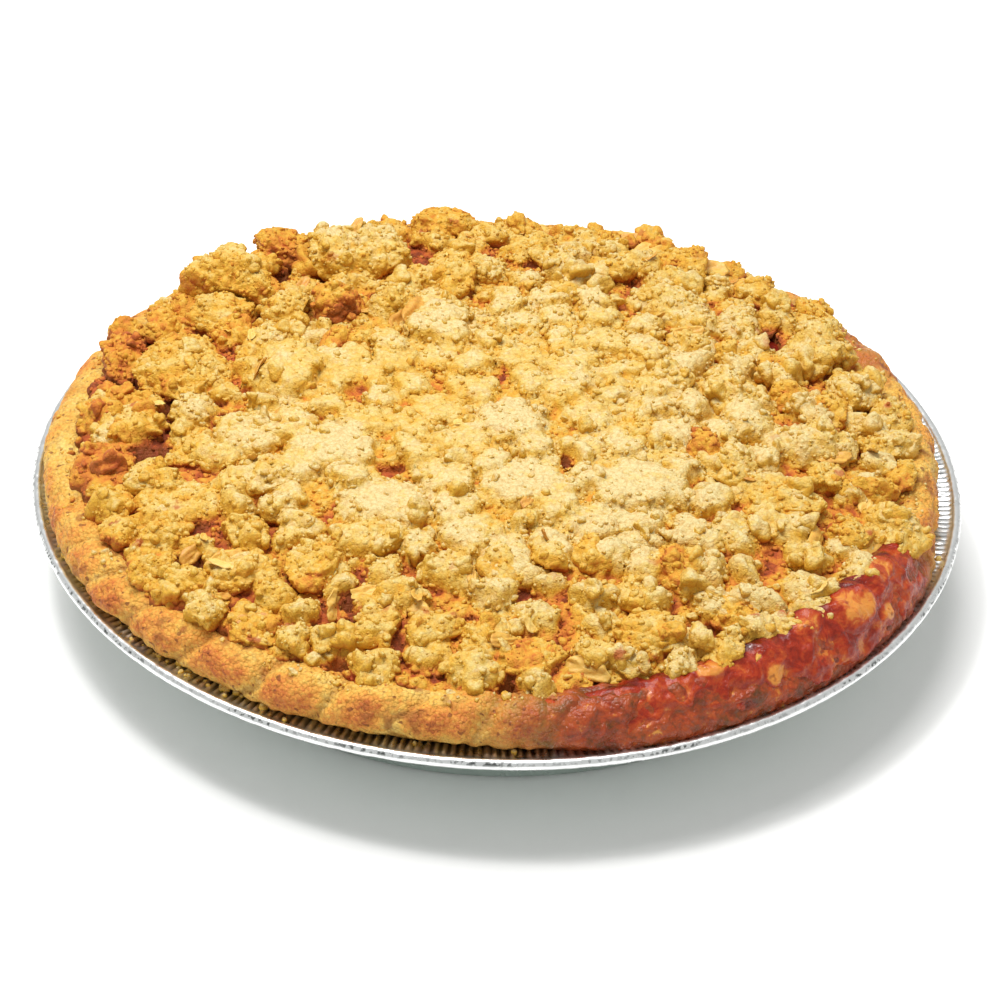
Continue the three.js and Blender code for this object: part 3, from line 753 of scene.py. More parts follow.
def pie_crust(material):
    """The crust: plain under the crumb and against the pan, baked and crimped where it shows."""
    angle = wrap_degrees(np.tile(turns(RIM_COLUMNS), RIM_STEPS))
    row = np.repeat(np.linspace(0, len(RIM_ROWS) - 1, RIM_STEPS), RIM_COLUMNS)
    visible, bump = rim_surface(row, angle)
    floor = PAN_WALL + AIR_GAP
    under = [ring(0, floor, 1, 0), ring(PAN_BASE_RADIUS - 5.5, floor, 120, 0),
             ring(wall_radius(4, 1.5), 4, 120, 0), ring(wall_radius(25, 1.5), 25, 240, 0),
             ring(PAN_FLANGE_RADIUS - 0.4, PAN_FLANGE_HEIGHT + 0.45, 520, 0)]
    inside_floor = floor + CRUST_THICKNESS
    inside = [ring(101.2, 30, 240), ring(86, inside_floor + 1.5, 120),
              ring(80, inside_floor, 120), ring(0, inside_floor, 1)]
    rings = under + list(visible.reshape(RIM_STEPS, RIM_COLUMNS, 3)) + inside
    points, faces = skin(rings)
    first = sum(len(one) for one in under)
    shown = padded(np.ones(len(visible)), first, len(points))
    full_row = padded(row, first, len(points))
    full_bump = padded(bump, first, len(points))
    x, y, _ = spaced(points)
    turn = bearing(x, y)
    out = normals(points, faces)
    smooth_left = around(turn, 175, 35, 10)
    rough = 1 - 0.3 * smooth_left
    lumps, crease = crumbly(points, 21, 5.2, 0.5)
    swell = 0.6 * waves(points, 17, 24) + 0.6 * waves(points, 7, 25)
    swell = swell + 0.25 * waves(points, 2.4, 30)
    # Torn, flaky layers on the right-hand side
    right = around(turn, 10, 62, 40)
    torn = np.abs(waves(points * [0.25, 0.25, 1], 2.1, 26))
    layers = 0.55 * right * torn * waves(points, 7, 27)
    soaked = between(turn, -92, -76, -22, -14)
    folds = 0.9 * (0.35 - np.abs(waves(points * [1, 1, 1.6], 6, 33)))
    folds = folds + 0.5 * waves(points, 3, 34)
    move = shown * (rough * (lumps + swell) + layers + soaked * folds)
    lower = smoothstep(0.0, 0.7, full_row)
    points = points + out * (move * lower)[:, None]
    # Browned on the outer faces of the crimps, palest at the left
    face = between(full_row, 1.0, 2.2, 2.8, 4.4)
    toast = 0.3 + 0.3 * face * smoothstep(-0.4, 0.3, full_bump) - 0.08 * smooth_left
    toast = toast + 0.14 * waves(points, 12, 28)
    toast = toast + 0.1 * smoothstep(1.6, 0.6, full_row)
    # Painted shade: crease darkens the crumbly creases and the valleys between crimps, with
    # random dark spots besides
    pits = smoothstep(-0.45, -0.75, waves(points, 3.4, 32)) * (1 - 0.7 * smooth_left)
    crease = np.clip(crease * 0.5 + smoothstep(-0.15, -0.5, full_bump) * 0.5 + pits, 0, 1)
    stain = between(turn, -96, -78, -24, -16)
    stain = np.maximum(stain, 0.7 * around(turn, 31, 16, 6) * smoothstep(2.5, 4, full_row))
    return make_piece("pie_crust_baked", points, faces, material, toast=toast, crease=crease,
                      stain=stain)


# --- The filling ------------------------------------------------------------

def dome_height(edge, centre, r):
    """The even dome's height at radius r."""
    return edge + (centre - edge) * (1 - np.minimum(r / TOPPING_RADIUS, 1) ** DOME_POWER)


def filling_body(material):
    """The filling inside the crust. It shows only at the bottom of the hole."""
    floor = PAN_WALL + 2 * AIR_GAP + CRUST_THICKNESS
    rings = [ring(0, floor, 1), ring(79.7, floor, 96), ring(85.7, floor + 1.5, 96),
             ring(100.6, 30, 96), ring(103.6, 36.4, 140)]
    for r in np.arange(102.4, 3, -FILLING_CELL):
        sides = int(2 * math.pi * r / FILLING_CELL)
        rings.append(ring(r, dome_height(FILLING_EDGE, FILLING_CENTRE, r), sides))
    rings.append(ring(0, FILLING_CENTRE, 1))
    points, faces = skin(rings)
    top = smoothstep(36, 38, points[:, 2])
    points = points + normals(points, faces) * (top * 0.7 * waves(points, 6, 31))[:, None]
    return make_piece("apple_filling_body", points, faces, material, depth=0.8)


# Apple that bulges under the jelly: angle, row, half its width in degrees, half its
# height in rows, and how far it stands out
APPLE_BULGES = [
    (-38, 3.7, 3.6, 1.3, 1.5),
    (-30, 4.2, 2.4, 0.8, 0.7),
    (-46, 4.4, 2.6, 0.7, 0.8),
    (-53, 2.8, 1.9, 0.7, 0.6),
    (-61, 4.3, 2.4, 0.5, 0.6),
    (-33, 2.2, 2.0, 0.6, 0.6),
]


def spill_depth(angle, row, place):
    """How thick the jelly lies over the rim and how much of it is apple. Below nought
    there is no jelly."""
    ragged = 2.5 * waves(place, 9, 41) + 1.2 * waves(place, 4, 42)
    ends = between(angle + ragged, SPILL_FROM - 1, SPILL_FROM + 9, SPILL_TO - 6, SPILL_TO + 1)
    low = 3.6 - 3.3 * smoothstep(SPILL_FROM, SPILL_FROM + 22, angle)
    lower = smoothstep(low - 0.5, low + 0.5, row + 0.6 * waves(place, 5, 43))
    right = smoothstep(-62, -44, angle)
    runs = smoothstep(-0.35, 0.25, waves(place * [1, 1, 0.35], 5.5, 46) + 0.45 * (row - 2.6)
                      + 0.25 + 0.4 * right)
    ridge = np.exp(-((row - 4.7) / 0.8) ** 2) * (0.9 + 0.4 * right)
    belly = (0.1 + 1.1 * right) * smoothstep(0.4, 2.0, row)
    swells = 0.6 * waves(place, 7, 44) + 0.5 * waves(place, 3.2, 45)
    swells = swells + 0.25 * waves(place, 1.5, 48)
    swells = swells + 0.5 * (0.5 - np.abs(waves(place, 4.2, 49)) / 0.4)
    apple = np.zeros(len(angle))
    stand = np.zeros(len(angle))
    for at, at_row, wide, tall, out in APPLE_BULGES:
        away = np.hypot((angle - at) / wide, (row - at_row) / tall)
        away = away + 0.22 * waves(place, 3.4, 47)
        apple = np.maximum(apple, smoothstep(1.05, 0.5, away))
        stand = np.maximum(stand, out * np.clip(1 - away ** 2, 0, 1) ** 0.4)
    there = ends * lower * runs
    thick = there * (0.4 + ridge + belly + swells + stand)
    return thick - 0.5 * (1 - there), apple * there


def apple_spill(material):
    """The jelly that has run over the crust, as a sheet that dips into it at its edges."""
    angles = np.linspace(SPILL_FROM - 4, SPILL_TO + 4, SPILL_COLUMNS)
    rows = np.linspace(6, 0.1, SPILL_STEPS)
    angle = np.tile(angles, SPILL_STEPS)
    row = np.repeat(rows, SPILL_COLUMNS)
    base, _ = rim_surface(row, angle)
    index = np.arange(SPILL_STEPS * SPILL_COLUMNS).reshape(SPILL_STEPS, SPILL_COLUMNS)
    corners = [index[:-1, :-1], index[1:, :-1], index[1:, 1:], index[:-1, 1:]]
    a, b, c, d = [one.ravel() for one in corners]
    sheet = np.concatenate([np.stack([a, b, c], 1), np.stack([a, c, d], 1)])
    out = normals(base, sheet)
    thick, apple = spill_depth(angle, row, base)
    outer = base + out * thick[:, None]
    inner = base - out * 0.9
    count = len(base)
    back = sheet[:, ::-1] + count
    rim = np.concatenate([index[:, 0], index[-1, 1:], index[-2::-1, -1], index[0, -2:0:-1]])
    after = np.roll(rim, -1)
    side = np.concatenate([np.stack([rim, rim + count, after + count], 1),
                           np.stack([rim, after + count, after], 1)])
    points = np.concatenate([outer, inner])
    faces = np.concatenate([sheet, back, side])
    # Painted shade: the jelly is darker just under the crumb's overhanging edge
    painted_shade_under_crumb = smoothstep(3.9, 4.9, row) * (1 - 0.5 * smoothstep(-48, -40, angle))
    depth = 0.34 + 0.2 * smoothstep(0.4, 3.2, thick) + 0.34 * painted_shade_under_crumb - 0.5 * apple
    depth = np.concatenate([depth, np.ones(count)])
    return make_piece("apple_filling_spill", points, faces, material, depth=depth)


# --- The crumb --------------------------------------------------------------

# Clumps that stand out, as in the part, and how brown each is from 0 to 1:
# x, y, width, depth, top, turn, toast
CLUMPS = [
    (-75, 60, 27, 24, 58, 10, 0.42),
    (-63, 84, 19, 14, 50.5, 0, 0.6),
    (-40, 76, 34, 26, 57.5, 0, 0.25),
    (-45, 46, 15, 14, 57, 0, 0.68),
    (-59, 45, 13, 20, 55, 0, 0.25),
    (-31, 48, 13, 17, 55.5, 0, 0.25),
    (-16, 37, 16, 20, 55, 0, 0.1),
    (-14, 62, 12, 15, 56, 0, 0.5),
    (-19, 100, 22, 12, 51, 0, 0.55),
    (-57, 13, 24, 21, 54.5, 0, 0.25),
    (-87, 18, 28, 34, 51.5, 15, 0.42),
    (-103, 27, 11, 22, 48, 0, 0.76),
    (-101, -25, 18, 23, 45.5, 0, 0.66),
    (-64, -16, 17, 20, 51, 0, 0.1),
    (-79, -17, 13, 18, 48, 0, 0.35),
    (-78, -43, 26, 17, 47.5, 10, 0.3),
    (-42, -22, 22, 20, 53, 0, 0.05),
    (-28, -46, 28, 20, 51.5, 0, 0.05),
    (-62, -68, 20, 16, 47.5, 0, 0.3),
    (-57, -88, 15, 15, 44.5, 0, 0.45),
    (3, -9, 23, 19, 54.5, 0, 0.0),
    (5, -36, 21, 20, 53, 0, 0.05),
    (35, -35, 29, 19, 52.5, 0, 0.05),
    (80, -7, 24, 17, 50.5, 0, 0.1),
    (72, -32, 25, 17, 50, 0, 0.3),
    (101, -37, 18, 17, 46, -20, 0.3),
    (-2, -91, 14, 15, 47, 0, 0.4),
    (9, -99, 17, 14, 46, 0, 0.6),
    (38, -88, 20, 15, 47, 0, 0.4),
    (45, -66, 11, 17, 50.5, 0, 0.6),
    (61, 12, 14, 19, 55, 0, 0.15),
    (47, 58, 25, 22, 53.5, 0, 0.15),
    (87, 43, 20, 27, 51, -20, 0.2),
    (95, 22, 13, 20, 49.5, 0, 0.2),
    (50, 82, 17, 16, 51, 0, 0.45),
]

# Smaller clumps that show: x, y, width, depth, rise over the dome, toast
LESSER_CLUMPS = [
    (-92, 42, 14, 14, 3.5, 0.45), (-88, 52, 13, 12, 3, 0.5), (-35, 31, 11, 17, 3, 0.45),
    (-44, 27, 9, 10, 3.5, 0.6), (-62, 31, 16, 13, 2.5, 0.15), (-8, 68, 10, 12, 3, 0.4),
    (-98, -7, 20, 18, 2, 0.25), (-81, -4, 14, 12, 2.5, 0.1), (-89, -32, 12, 12, 3, 0.2),
    (-97, -41, 12, 12, 2.5, 0.45), (-58, -33, 17, 17, 2.5, 0.15), (-55, -47, 10, 10, 3, 0.2),
    (-63, -55, 14, 12, 2.5, 0.45), (-50, -55, 12, 12, 2.5, 0.2), (-93, -52, 12, 11, 2.5, 0.5),
    (-82, -57, 16, 12, 3, 0.45), (-85, -67, 14, 12, 2.5, 0.5), (-75, -73, 15, 12, 3, 0.5),
    (-44, -71, 13, 16, 3.5, 0.45), (-53, -79, 11, 11, 2.5, 0.3), (-69, -82, 16, 11, 2.5, 0.2),
    (-47, -94, 11, 9, 2.5, 0.35), (-40, -94, 10, 10, 2, 0.35), (-27, -59, 16, 12, 2.5, 0.4),
    (-28, -91, 12, 12, 3, 0.4), (-14, -91, 12, 13, 3, 0.45), (36, -9, 14, 12, 2, 0.35),
    (54, -16, 13, 15, 3, 0.6), (65, -4, 12, 12, 2.5, 0.15), (84, -22, 10, 10, 3, 0.35),
    (95, -23, 11, 18, 3, 0.5), (60, -22, 17, 15, 2.5, 0.15), (90, -44, 13, 11, 3.5, 0.5),
    (36, -75, 13, 11, 2.5, 0.3), (14, -63, 12, 12, 2.5, 0.35), (25, -62, 12, 11, 2.5, 0.35),
    (2, -69, 13, 12, 2.5, 0.35), (25, -96, 10, 9, 2.5, 0.3), (34, -98, 9, 8, 2, 0.1),
    (46, -97, 10, 9, 2.5, 0.1), (56, -92, 14, 11, 3, 0.35), (61, -80, 16, 12, 3, 0.55),
    (72, -81, 12, 10, 2.5, 0.3), (79, -72, 12, 11, 3, 0.15), (73, 29, 10, 12, 3, 0.45),
    (50, 37, 12, 12, 3, 0.3), (61, 33, 9, 9, 2.5, 0.5), (87, 11, 12, 15, 3.5, 0.5),
    (76, 14, 12, 11, 2.5, 0.4), (103, 13, 11, 13, 3, 0.25), (101, -1, 14, 14, 3, 0.4),
    (44, 16, 16, 12, 2.5, 0.15), (30, 76, 13, 13, 3, 0.4), (15, 58, 12, 13, 2.5, 0.4),
    (65, 54, 14, 14, 3, 0.15), (-105, 5, 10, 14, 1.5, 0.3), (-73, 38, 10, 10, 2, 0.55),
    (105, -14, 9, 13, 2.5, 0.55), (-77, 45, 20, 15, 4, 0.3), (-104, 43, 9, 12, 3, 0.6),
    (70, 74, 13, 12, 3, 0.4), (10, 86, 14, 12, 3, 0.35), (-5, 96, 12, 10, 3, 0.4),
    (28, 98, 14, 10, 2.5, 0.5), (86, 66, 12, 12, 2.5, 0.45), (-84, 76, 12, 10, 3, 0.55),
]

# Oat flakes that stand up out of the crumb: x, y, length, tilt, turn
FLAKES = [
    (-38, -81, 13, 65, 80), (-31, -79, 9, 20, 30), (81, -48, 11, 60, 70),
    (94, -50, 14, 30, 60), (-24, 43, 15, 25, 70), (57, 24, 9, 35, 40),
    (50, 74, 12, 20, -20), (23, -101, 12, 58, -20), (-65, -66, 12, 25, 20),
    (95, -59, 9, 30, 45), (-74, -63, 10, 50, 60), (-57, -88, 11, 8, 10),
    (-60, -70, 11, 20, 35), (-19, -84, 10, 35, -40), (50, 38, 9, 40, 15),
    (87, -12, 10, 15, 10), (66, -92, 9, 45, 70), (-29, 37, 12, 35, 75),
    (42, 92, 15, 18, 30), (57, 84, 14, 12, -15), (33, 99, 13, 25, 5), (69, 73, 13, 20, -40),
]

# Deep gaps between clumps, whose bottoms the crumb's colour darkens with painted shade: x, y,
# width
GAPS = [
    (-65, 45, 7), (-38, 56, 10), (-62, 71, 7), (-42, 34, 8), (-38, 4, 7), (-28, -30, 6),
    (-89, -20, 8), (-87, -2, 8), (29, -103, 9), (5, -107, 6), (42, -4, 5), (73, 12, 6),
    (30, 60, 6), (45, 41, 6), (19, -25, 5), (51, -28, 5), (-27, -104, 5), (-62, -43, 6),
    (-5, -88, 5), (-52, 34, 6), (41, -103, 7), (-36, -101, 5), (-64, -65, 6),
    (-48, -8, 4), (-36, -80, 5), (8, 72, 5),
]

SMALL_CLUMPS = 240
STANDING = 4                     # a clump this far over the dome isn't part of the bed
GAP_DEPTH = 3.4
CRUMB_UNDERSIDE = 36             # height of the bed's flat underside
CRUMB_EDGE_ROW = 4.6             # the row of the rim that the crumb comes down on
EDGE_ROUNDING = 3.6
PIT_FLOOR = 37.2                 # height of the bottom of the hole at the back right


def topping_height(x, y):
    return dome_height(TOPPING_EDGE, TOPPING_CENTRE, np.hypot(x - PIE_SHIFT, y))


def small_clumps():
    """Clumps by the golden angle, flatter in the middle, off the large ones."""
    random = seeded(5)
    spread = []
    for step in range(SMALL_CLUMPS):
        share = math.sqrt((step + 0.5) / SMALL_CLUMPS)
        turn = step * GOLDEN_TURN + 0.06 * random()
        x = PIE_SHIFT + (TOPPING_RADIUS - 2) * share * math.cos(turn)
        y = (TOPPING_RADIUS - 2) * share * math.sin(turn)
        width = 9 + 6 * random()
        depth = width * (0.75 + 0.5 * random())
        rise = (0.4 + 3.4 * random()) * (0.35 + 0.65 * share)
        if any(math.hypot((x - one[0]) / one[2], (y - one[1]) / one[3]) < 0.5 for one in CLUMPS):
            continue
        spread.append((x, y, width, depth, float(topping_height(x, y)) + rise, 180 * random()))
    return spread


def stands_out(one):
    return one[4] - topping_height(one[0], one[1]) >= STANDING


HUMPS = [one[:6] for one in CLUMPS if not stands_out(one)] + small_clumps()


def zone_toast(x, y):
    """How brown the crumb is by place: pale in the middle, browner round the edge."""
    r = share_out(x, y)
    angle = bearing(x, y)
    back_left = around(angle, 150, 75, 25)
    front_left = around(angle, -125, 70, 20)
    edge = smoothstep(0.45, 1.0, r)
    back_right = around(angle, 62, 34, 18) * smoothstep(0.86, 0.97, r)
    front_right = around(angle, -30, 80, 30)
    middle = smoothstep(0.65, 0.3, r)
    return (0.17 + 0.12 * middle - 0.11 * front_right + 0.04 * edge
            + 0.27 * back_left * smoothstep(0.4, 0.9, r) + 0.09 * front_left * edge
            + 0.3 * back_right)


def edge_radius(angle):
    """The topping's outline: the clumps at its edge hang over a little."""
    turn = np.radians(angle)
    reach = np.full(len(turn), TOPPING_RADIUS - 1)
    for x, y, width, depth, *_ in HUMPS:
        ahead = (x - PIE_SHIFT) * np.cos(turn) + y * np.sin(turn)
        across = y * np.cos(turn) - (x - PIE_SHIFT) * np.sin(turn)
        half = min(width, depth) / 2
        inside = np.abs(across) < half
        far = ahead + np.sqrt(np.maximum(half ** 2 - across ** 2, 0))
        reach = np.where(inside, np.maximum(reach, far), reach)
    return np.minimum(reach, TOPPING_RADIUS + 3)


def ragged_edge(sides):
    """The topping's outline with the unevenness of single crumbs."""
    angle = turns(sides)
    place = ring(TOPPING_RADIUS, 0, sides)
    uneven = 1.3 * waves(place, 9, 66) + 1.1 * waves(place, 4, 67)
    return edge_radius(wrap_degrees(angle)) + uneven


def crumb_height(x, y):
    """Height of the crumb with its clumps as humps, and how flat-topped each place is."""
    place = np.stack([x, y, 0 * x], 1)
    warp_x = x + 2.6 * waves(place, 9, 61) + 1.5 * waves(place, 4, 62)
    warp_y = y + 2.6 * waves(place, 9, 63) + 1.5 * waves(place, 4, 64)
    share = share_out(x, y)
    heaped = between(share, 0.45, 0.75, 0.9, 0.98)
    floor = topping_height(x, y) - CORE_SINK + 1.3 * smoothstep(0.7, 0.35, share) - 0.9 * heaped
    height = floor + 0.8 * waves(place, 6, 65)
    flat = np.zeros(len(x))
    middle = smoothstep(0.75, 0.4, share)
    for cx, cy, width, depth, top, turn in HUMPS:
        near = np.flatnonzero(np.hypot(warp_x - cx, warp_y - cy) < max(width, depth) / 2)
        angle = math.radians(turn)
        dx, dy = warp_x[near] - cx, warp_y[near] - cy
        u = (dx * math.cos(angle) + dy * math.sin(angle)) / (width / 2)
        v = (dy * math.cos(angle) - dx * math.sin(angle)) / (depth / 2)
        away = np.hypot(u, v)
        near, away = near[away < 1], away[away < 1]
        power = 2 + 4 * middle[near]
        hump = floor[near] + (top - floor[near]) * np.sqrt(1 - away ** power)
        higher = hump > height[near]
        flat[near[higher]] = (middle[near] * smoothstep(0.9, 0.6, away))[higher]
        height[near] = np.maximum(height[near], hump)
    return height, flat


def crumb_values(points, toast, crease, loose, fine=None):
    """The numbers that the crumb's colour and its scattered crumbs go by: crease is how much
    painted shade a point gets in creases, loose is where lumps lie, and fine where small crumbs
    do."""
    outer = smoothstep(0.55, 0.9, share_out(points[:, 0], points[:, 1]))
    return {"toast": toast, "tone": 0 * toast + 0.5, "crease": np.clip(crease, 0, 1),
            "loose": loose, "fine": loose if fine is None else fine,
            "juice": 0.15 + 0.75 * outer}


def crumb_bed():
    """The bed of crumb with its lower clumps, down over the crust's inner edge."""
    count = int(TOPPING_RADIUS / BED_CELL)
    rings = [ring(0, CRUMB_UNDERSIDE, 1), ring(104, CRUMB_UNDERSIDE, 240)]
    sides = int(2 * math.pi * TOPPING_RADIUS / BED_CELL)
    edge = ragged_edge(sides)
    crest = rim_surface(np.full(sides, CRUMB_EDGE_ROW), turns(sides))[0][:, 2]
    rings += [ring(edge - 3.5, crest - 3.2, sides), ring(edge - 1.2, crest - 2.2, sides)]
    start = sum(len(one) for one in rings)
    shares = []
    for step in range(count, 0, -1):
        share = step / count
        sides = max(int(2 * math.pi * TOPPING_RADIUS * share / BED_CELL), 6)
        rings.append(ring(ragged_edge(sides) * share, 0, sides))
        shares.append(np.full(sides, share))
    rings.append(ring(0, 0, 1))
    shares.append(np.zeros(1))
    points, faces = skin(rings)
    x, y = points[start:, 0], points[start:, 1]
    height, flat = crumb_height(x, y)
    sunk = rim_surface(np.full(len(x), CRUMB_EDGE_ROW), bearing(x, y))[0][:, 2] - 1.2
    inwards = (1 - np.concatenate(shares)) * TOPPING_RADIUS
    round_off = np.sqrt(1 - (1 - np.clip(inwards / EDGE_ROUNDING, 0, 1)) ** 2)
    height = sunk + (height - sunk) * round_off
    ragged = 0.7 * waves(np.stack([x, y, 0 * x], 1), 3, 68)
    for gap_x, gap_y, width in GAPS:
        near = np.hypot(x - gap_x, y - gap_y) + ragged
        height = height - GAP_DEPTH * smoothstep(0.75 * width, 0.3 * width, near)
    px, py, pit_width, pit_depth = PIT
    hole = np.hypot((x - px) / (pit_width / 2), (y - py) / (pit_depth / 2))
    deep = np.minimum(height, PIT_FLOOR + 17 * smoothstep(0.85, 1.3, hole))
    height = np.where(hole < 1.3, deep, height)
    points[start:, 2] = height
    full_flat = padded(flat, start, len(points))
    top = np.zeros(len(points))
    top[start - len(edge):] = 1
    move, crease = crumbly(points, 71)
    points = points + normals(points, faces) * (top * (1 - 0.55 * full_flat) * move)[:, None]
    x, y, _ = spaced(points)
    toast = zone_toast(x, y) + 0.14 * waves(points, 12, 74) - 0.06 * full_flat
    for cx, cy, width, depth, _, _, brown in CLUMPS:
        near = smoothstep(1.15, 0.7, np.hypot((x - cx) / width, (y - cy) / depth) * 2)
        toast = toast + near * (brown - toast)
    outer = smoothstep(0.4, 0.9, share_out(x, y))
    above = points[:, 2] - topping_height(x, y)
    loose = top * (0.4 + 0.6 * outer) * smoothstep(-3.0, -1.2, above) * (1 - 0.8 * full_flat)
    fine = 0.35 + 0.3 * smoothstep(0, 40, y) + 0.35 * smoothstep(0.3, -1.5, above)
    fine = top * np.minimum(fine, 1) * (1 - 0.6 * full_flat) * smoothstep(-4.6, -3.4, above)
    crease = crease * (1 - 0.5 * full_flat)
    return points, faces, crumb_values(points, toast, crease, loose, fine)


def clump(x, y, width, depth, top, turn, toast, seed, level):
    """One clump: a broken, granular chunk of crumb set down into the bed."""
    unit, faces = ball(level)
    ground = float(topping_height(x, y))
    bottom = ground - CORE_SINK - 0.25 * min(width, depth)
    half = np.array([width, depth, top - bottom]) / 2
    size = min(width, depth)
    shape = chipped(unit, seed, 9) * half * 1.06
    shape = shape * (1 + 0.16 * waves(shape + 31.7 * seed, 0.5 * size, seed))[:, None]
    out = unit / half
    out = out / np.linalg.norm(out, axis=1, keepdims=True)
    move, crease = crumbly(shape + 17.3 * seed, seed + 100, min(2.2 + 0.16 * size, 5.4))
    shape = shape + out * move[:, None]
    angle = math.radians(turn)
    spin = np.array([[math.cos(angle), math.sin(angle), 0],
                     [-math.sin(angle), math.cos(angle), 0], [0, 0, 1]])
    points = shape @ spin + [x, y, (top + bottom) / 2]
    brown = 0.85 * toast + 0.12 * waves(points, 7, 75) + 0.1 * waves(points, 16, 76)
    upwards = (out @ spin)[:, 2]
    return points, faces, crumb_values(points, brown, 0.8 * crease, 0.35 * upwards.clip(0, 1),
                                       0.65 * smoothstep(-0.4, 0.5, upwards))


def crumb_clumps():
    """The clumps that stand out of the bed."""
    parts = []
    for seed, (x, y, width, depth, top, turn, toast) in enumerate(CLUMPS):
        if stands_out(CLUMPS[seed]) or min(width, depth) < 18:
            level = 6 if width > 26 and stands_out(CLUMPS[seed]) else 5
            parts.append(clump(x, y, width, depth, top, turn, toast, seed, level))
    return merged(parts)


def lesser_clumps():
    """The smaller clumps listed between them."""
    parts = []
    for seed, (x, y, width, depth, rise, toast) in enumerate(LESSER_CLUMPS, 50):
        top = float(topping_height(x, y)) + rise
        level = 5 if max(width, depth) > 13.5 else 4
        parts.append(clump(x, y, width, depth, top, 37 * seed % 180, toast, seed, level))
    return merged(parts)


# --- What is scattered ------------------------------------------------------

def kinds_of(name, pieces):
    """A collection of pieces to scatter copies of, out of the scene themselves."""
    kinds = bpy.data.collections.new(name)
    for piece in pieces:
        bpy.context.scene.collection.objects.unlink(piece)
        kinds.objects.link(piece)
    return kinds


def crumb_kinds(name, level, count, material):
    """A few unit crumbs, each about 1 across."""
    unit, faces = ball(level)
    pieces = []
    for seed in range(count):
        stretch = 0.5 * np.array([
            1 + 0.25 * math.sin(seed * 2.1), 0.9 + 0.2 * math.cos(seed * 1.3), 0.85])
        shape = chipped(unit, 400 + seed, 5) * stretch
        lump = grains(shape + 9.1 * seed, 0.55, 400 + seed) - 0.6
        small = grains(shape + 5.3 * seed, 0.3, 420 + seed) - 0.6
        shape = shape * (1 + 0.75 * lump + 0.35 * small * (level > 1))[:, None]
        pieces.append(make_piece(f"{name}_{seed}", shape / MM, faces, material))
    return kinds_of(name, pieces)


def oat_kinds(material):
    """A few unit oat flakes, each about 1 long."""
    pieces = []
    for seed, (bend, crease) in enumerate([(0.25, 0.03), (-0.2, 0.02), (0.4, 0.04), (0.1, 0.0)]):
        points, faces = flake_shape(bend, crease, seed)
        pieces.append(make_piece(f"oat_{seed}", points / MM, faces, material))
    return kinds_of("oat_kinds", pieces)


def crust_ground(crust):
    """The crust's surface with the numbers for crumbs that lie on its inner side."""
    mesh = crust.data
    count = len(mesh.vertices)
    points = np.empty(count * 3)
    mesh.vertices.foreach_get("co", points)
    points = points.reshape(count, 3) / MM
    mesh.calc_loop_triangles()
    faces = np.empty(len(mesh.loop_triangles) * 3, np.int32)
    mesh.loop_triangles.foreach_get("vertices", faces)
    r = np.hypot(points[:, 0] - PIE_SHIFT, points[:, 1])
    near = smoothstep(116.5, 112.5, r) * smoothstep(36, 38.5, points[:, 2])
    patch = smoothstep(-0.2, 0.4, waves(points, 10, 81))
    dry = 1 - between(bearing(points[:, 0], points[:, 1]), -80, -72, -26, -18)
    values = crumb_values(points, np.full(count, 0.05), np.zeros(count),
                          0.45 * near * patch * dry)
    return points, faces.reshape(-1, 3), values


FALLEN = 90
FALLEN_IN_FRONT = 64


def fallen_crumbs(material):
    """Crumbs that have dropped on the pan's flange, most of them at the front left."""
    random = seeded(17)
    unit, faces = ball(2)
    parts = []
    for step in range(FALLEN):
        in_front = step < FALLEN_IN_FRONT
        angle = math.radians(-160 + 46 * random() if in_front else 360 * random())
        r = 116.5 + 2.8 * random()
        size = 0.6 + 1.4 * random() ** 2
        shape = chipped(unit, 500 + step, 5) * size * 0.6
        shape = shape + unit * (0.35 * size * (grains(shape + 9 * step, 0.9, 31) - 0.6))[:, None]
        where = [r * math.cos(angle), r * math.sin(angle), PAN_FLANGE_HEIGHT + 0.45 + 0.4 * size]
        points = shape + where
        full = np.full(len(points), -0.55)
        parts.append((points, faces, crumb_values(points, full, 0 * full, 0 * full)))
    return piece_from("crumb_fallen", merged(parts), material)


def flake_shape(bend, crease, seed):
    """A flattened oat, 1 long: an oval plate, bent, with a crease along it."""
    rings = []
    for radius, height in ((0, -0.03), (0.55, -0.035), (0.9, -0.022), (1, 0), (0.92, 0.022),
                           (0.75, 0.032), (0.5, 0.035), (0.25, 0.035), (0, 0.035)):
        sides = 1 if radius == 0 else 26
        rings.append(ring(radius, height, sides, 0))
    points, faces = skin(rings)
    x, y, z = spaced(points)
    ragged = 1 + 0.25 * waves(points + 3.3 * seed, 0.5, seed)
    x, y = 0.5 * x * ragged, 0.24 * y * ragged
    z = z + bend * (x ** 2) + 1.5 * bend * y ** 2 - crease * np.exp(-(y / 0.05) ** 2)
    z = z + 0.05 * waves(points + 7.7 * seed, 0.35, seed + 9) + 0.02 * np.cos(44 * y)
    return np.stack([x, y, z], 1), faces


def landmark_flakes(ground_points, material):
    """The oat flakes that show most, each lying on the crumb that is there."""
    parts = []
    for seed, (x, y, length, tilt, turn) in enumerate(FLAKES):
        shape, faces = flake_shape(0.5 * math.sin(2.3 * seed), 0.04, 60 + seed)
        near = np.hypot(ground_points[:, 0] - x, ground_points[:, 1] - y) < 0.3 * length
        top = np.percentile(ground_points[near, 2], 62)
        lean = Quaternion((1, 0, 0), math.radians(tilt))
        lean = Quaternion((0, 0, 1), math.radians(turn)) @ lean
        points = length * shape @ np.array(lean.to_matrix()).T
        points = points + [x, y, top + 0.05 * length * math.sin(math.radians(tilt))]
        parts.append((points, faces, {"tone": np.full(len(points), 0.35 + 0.1 * (seed % 6))}))
    return piece_from("oat_flakes_large", merged(parts), material)


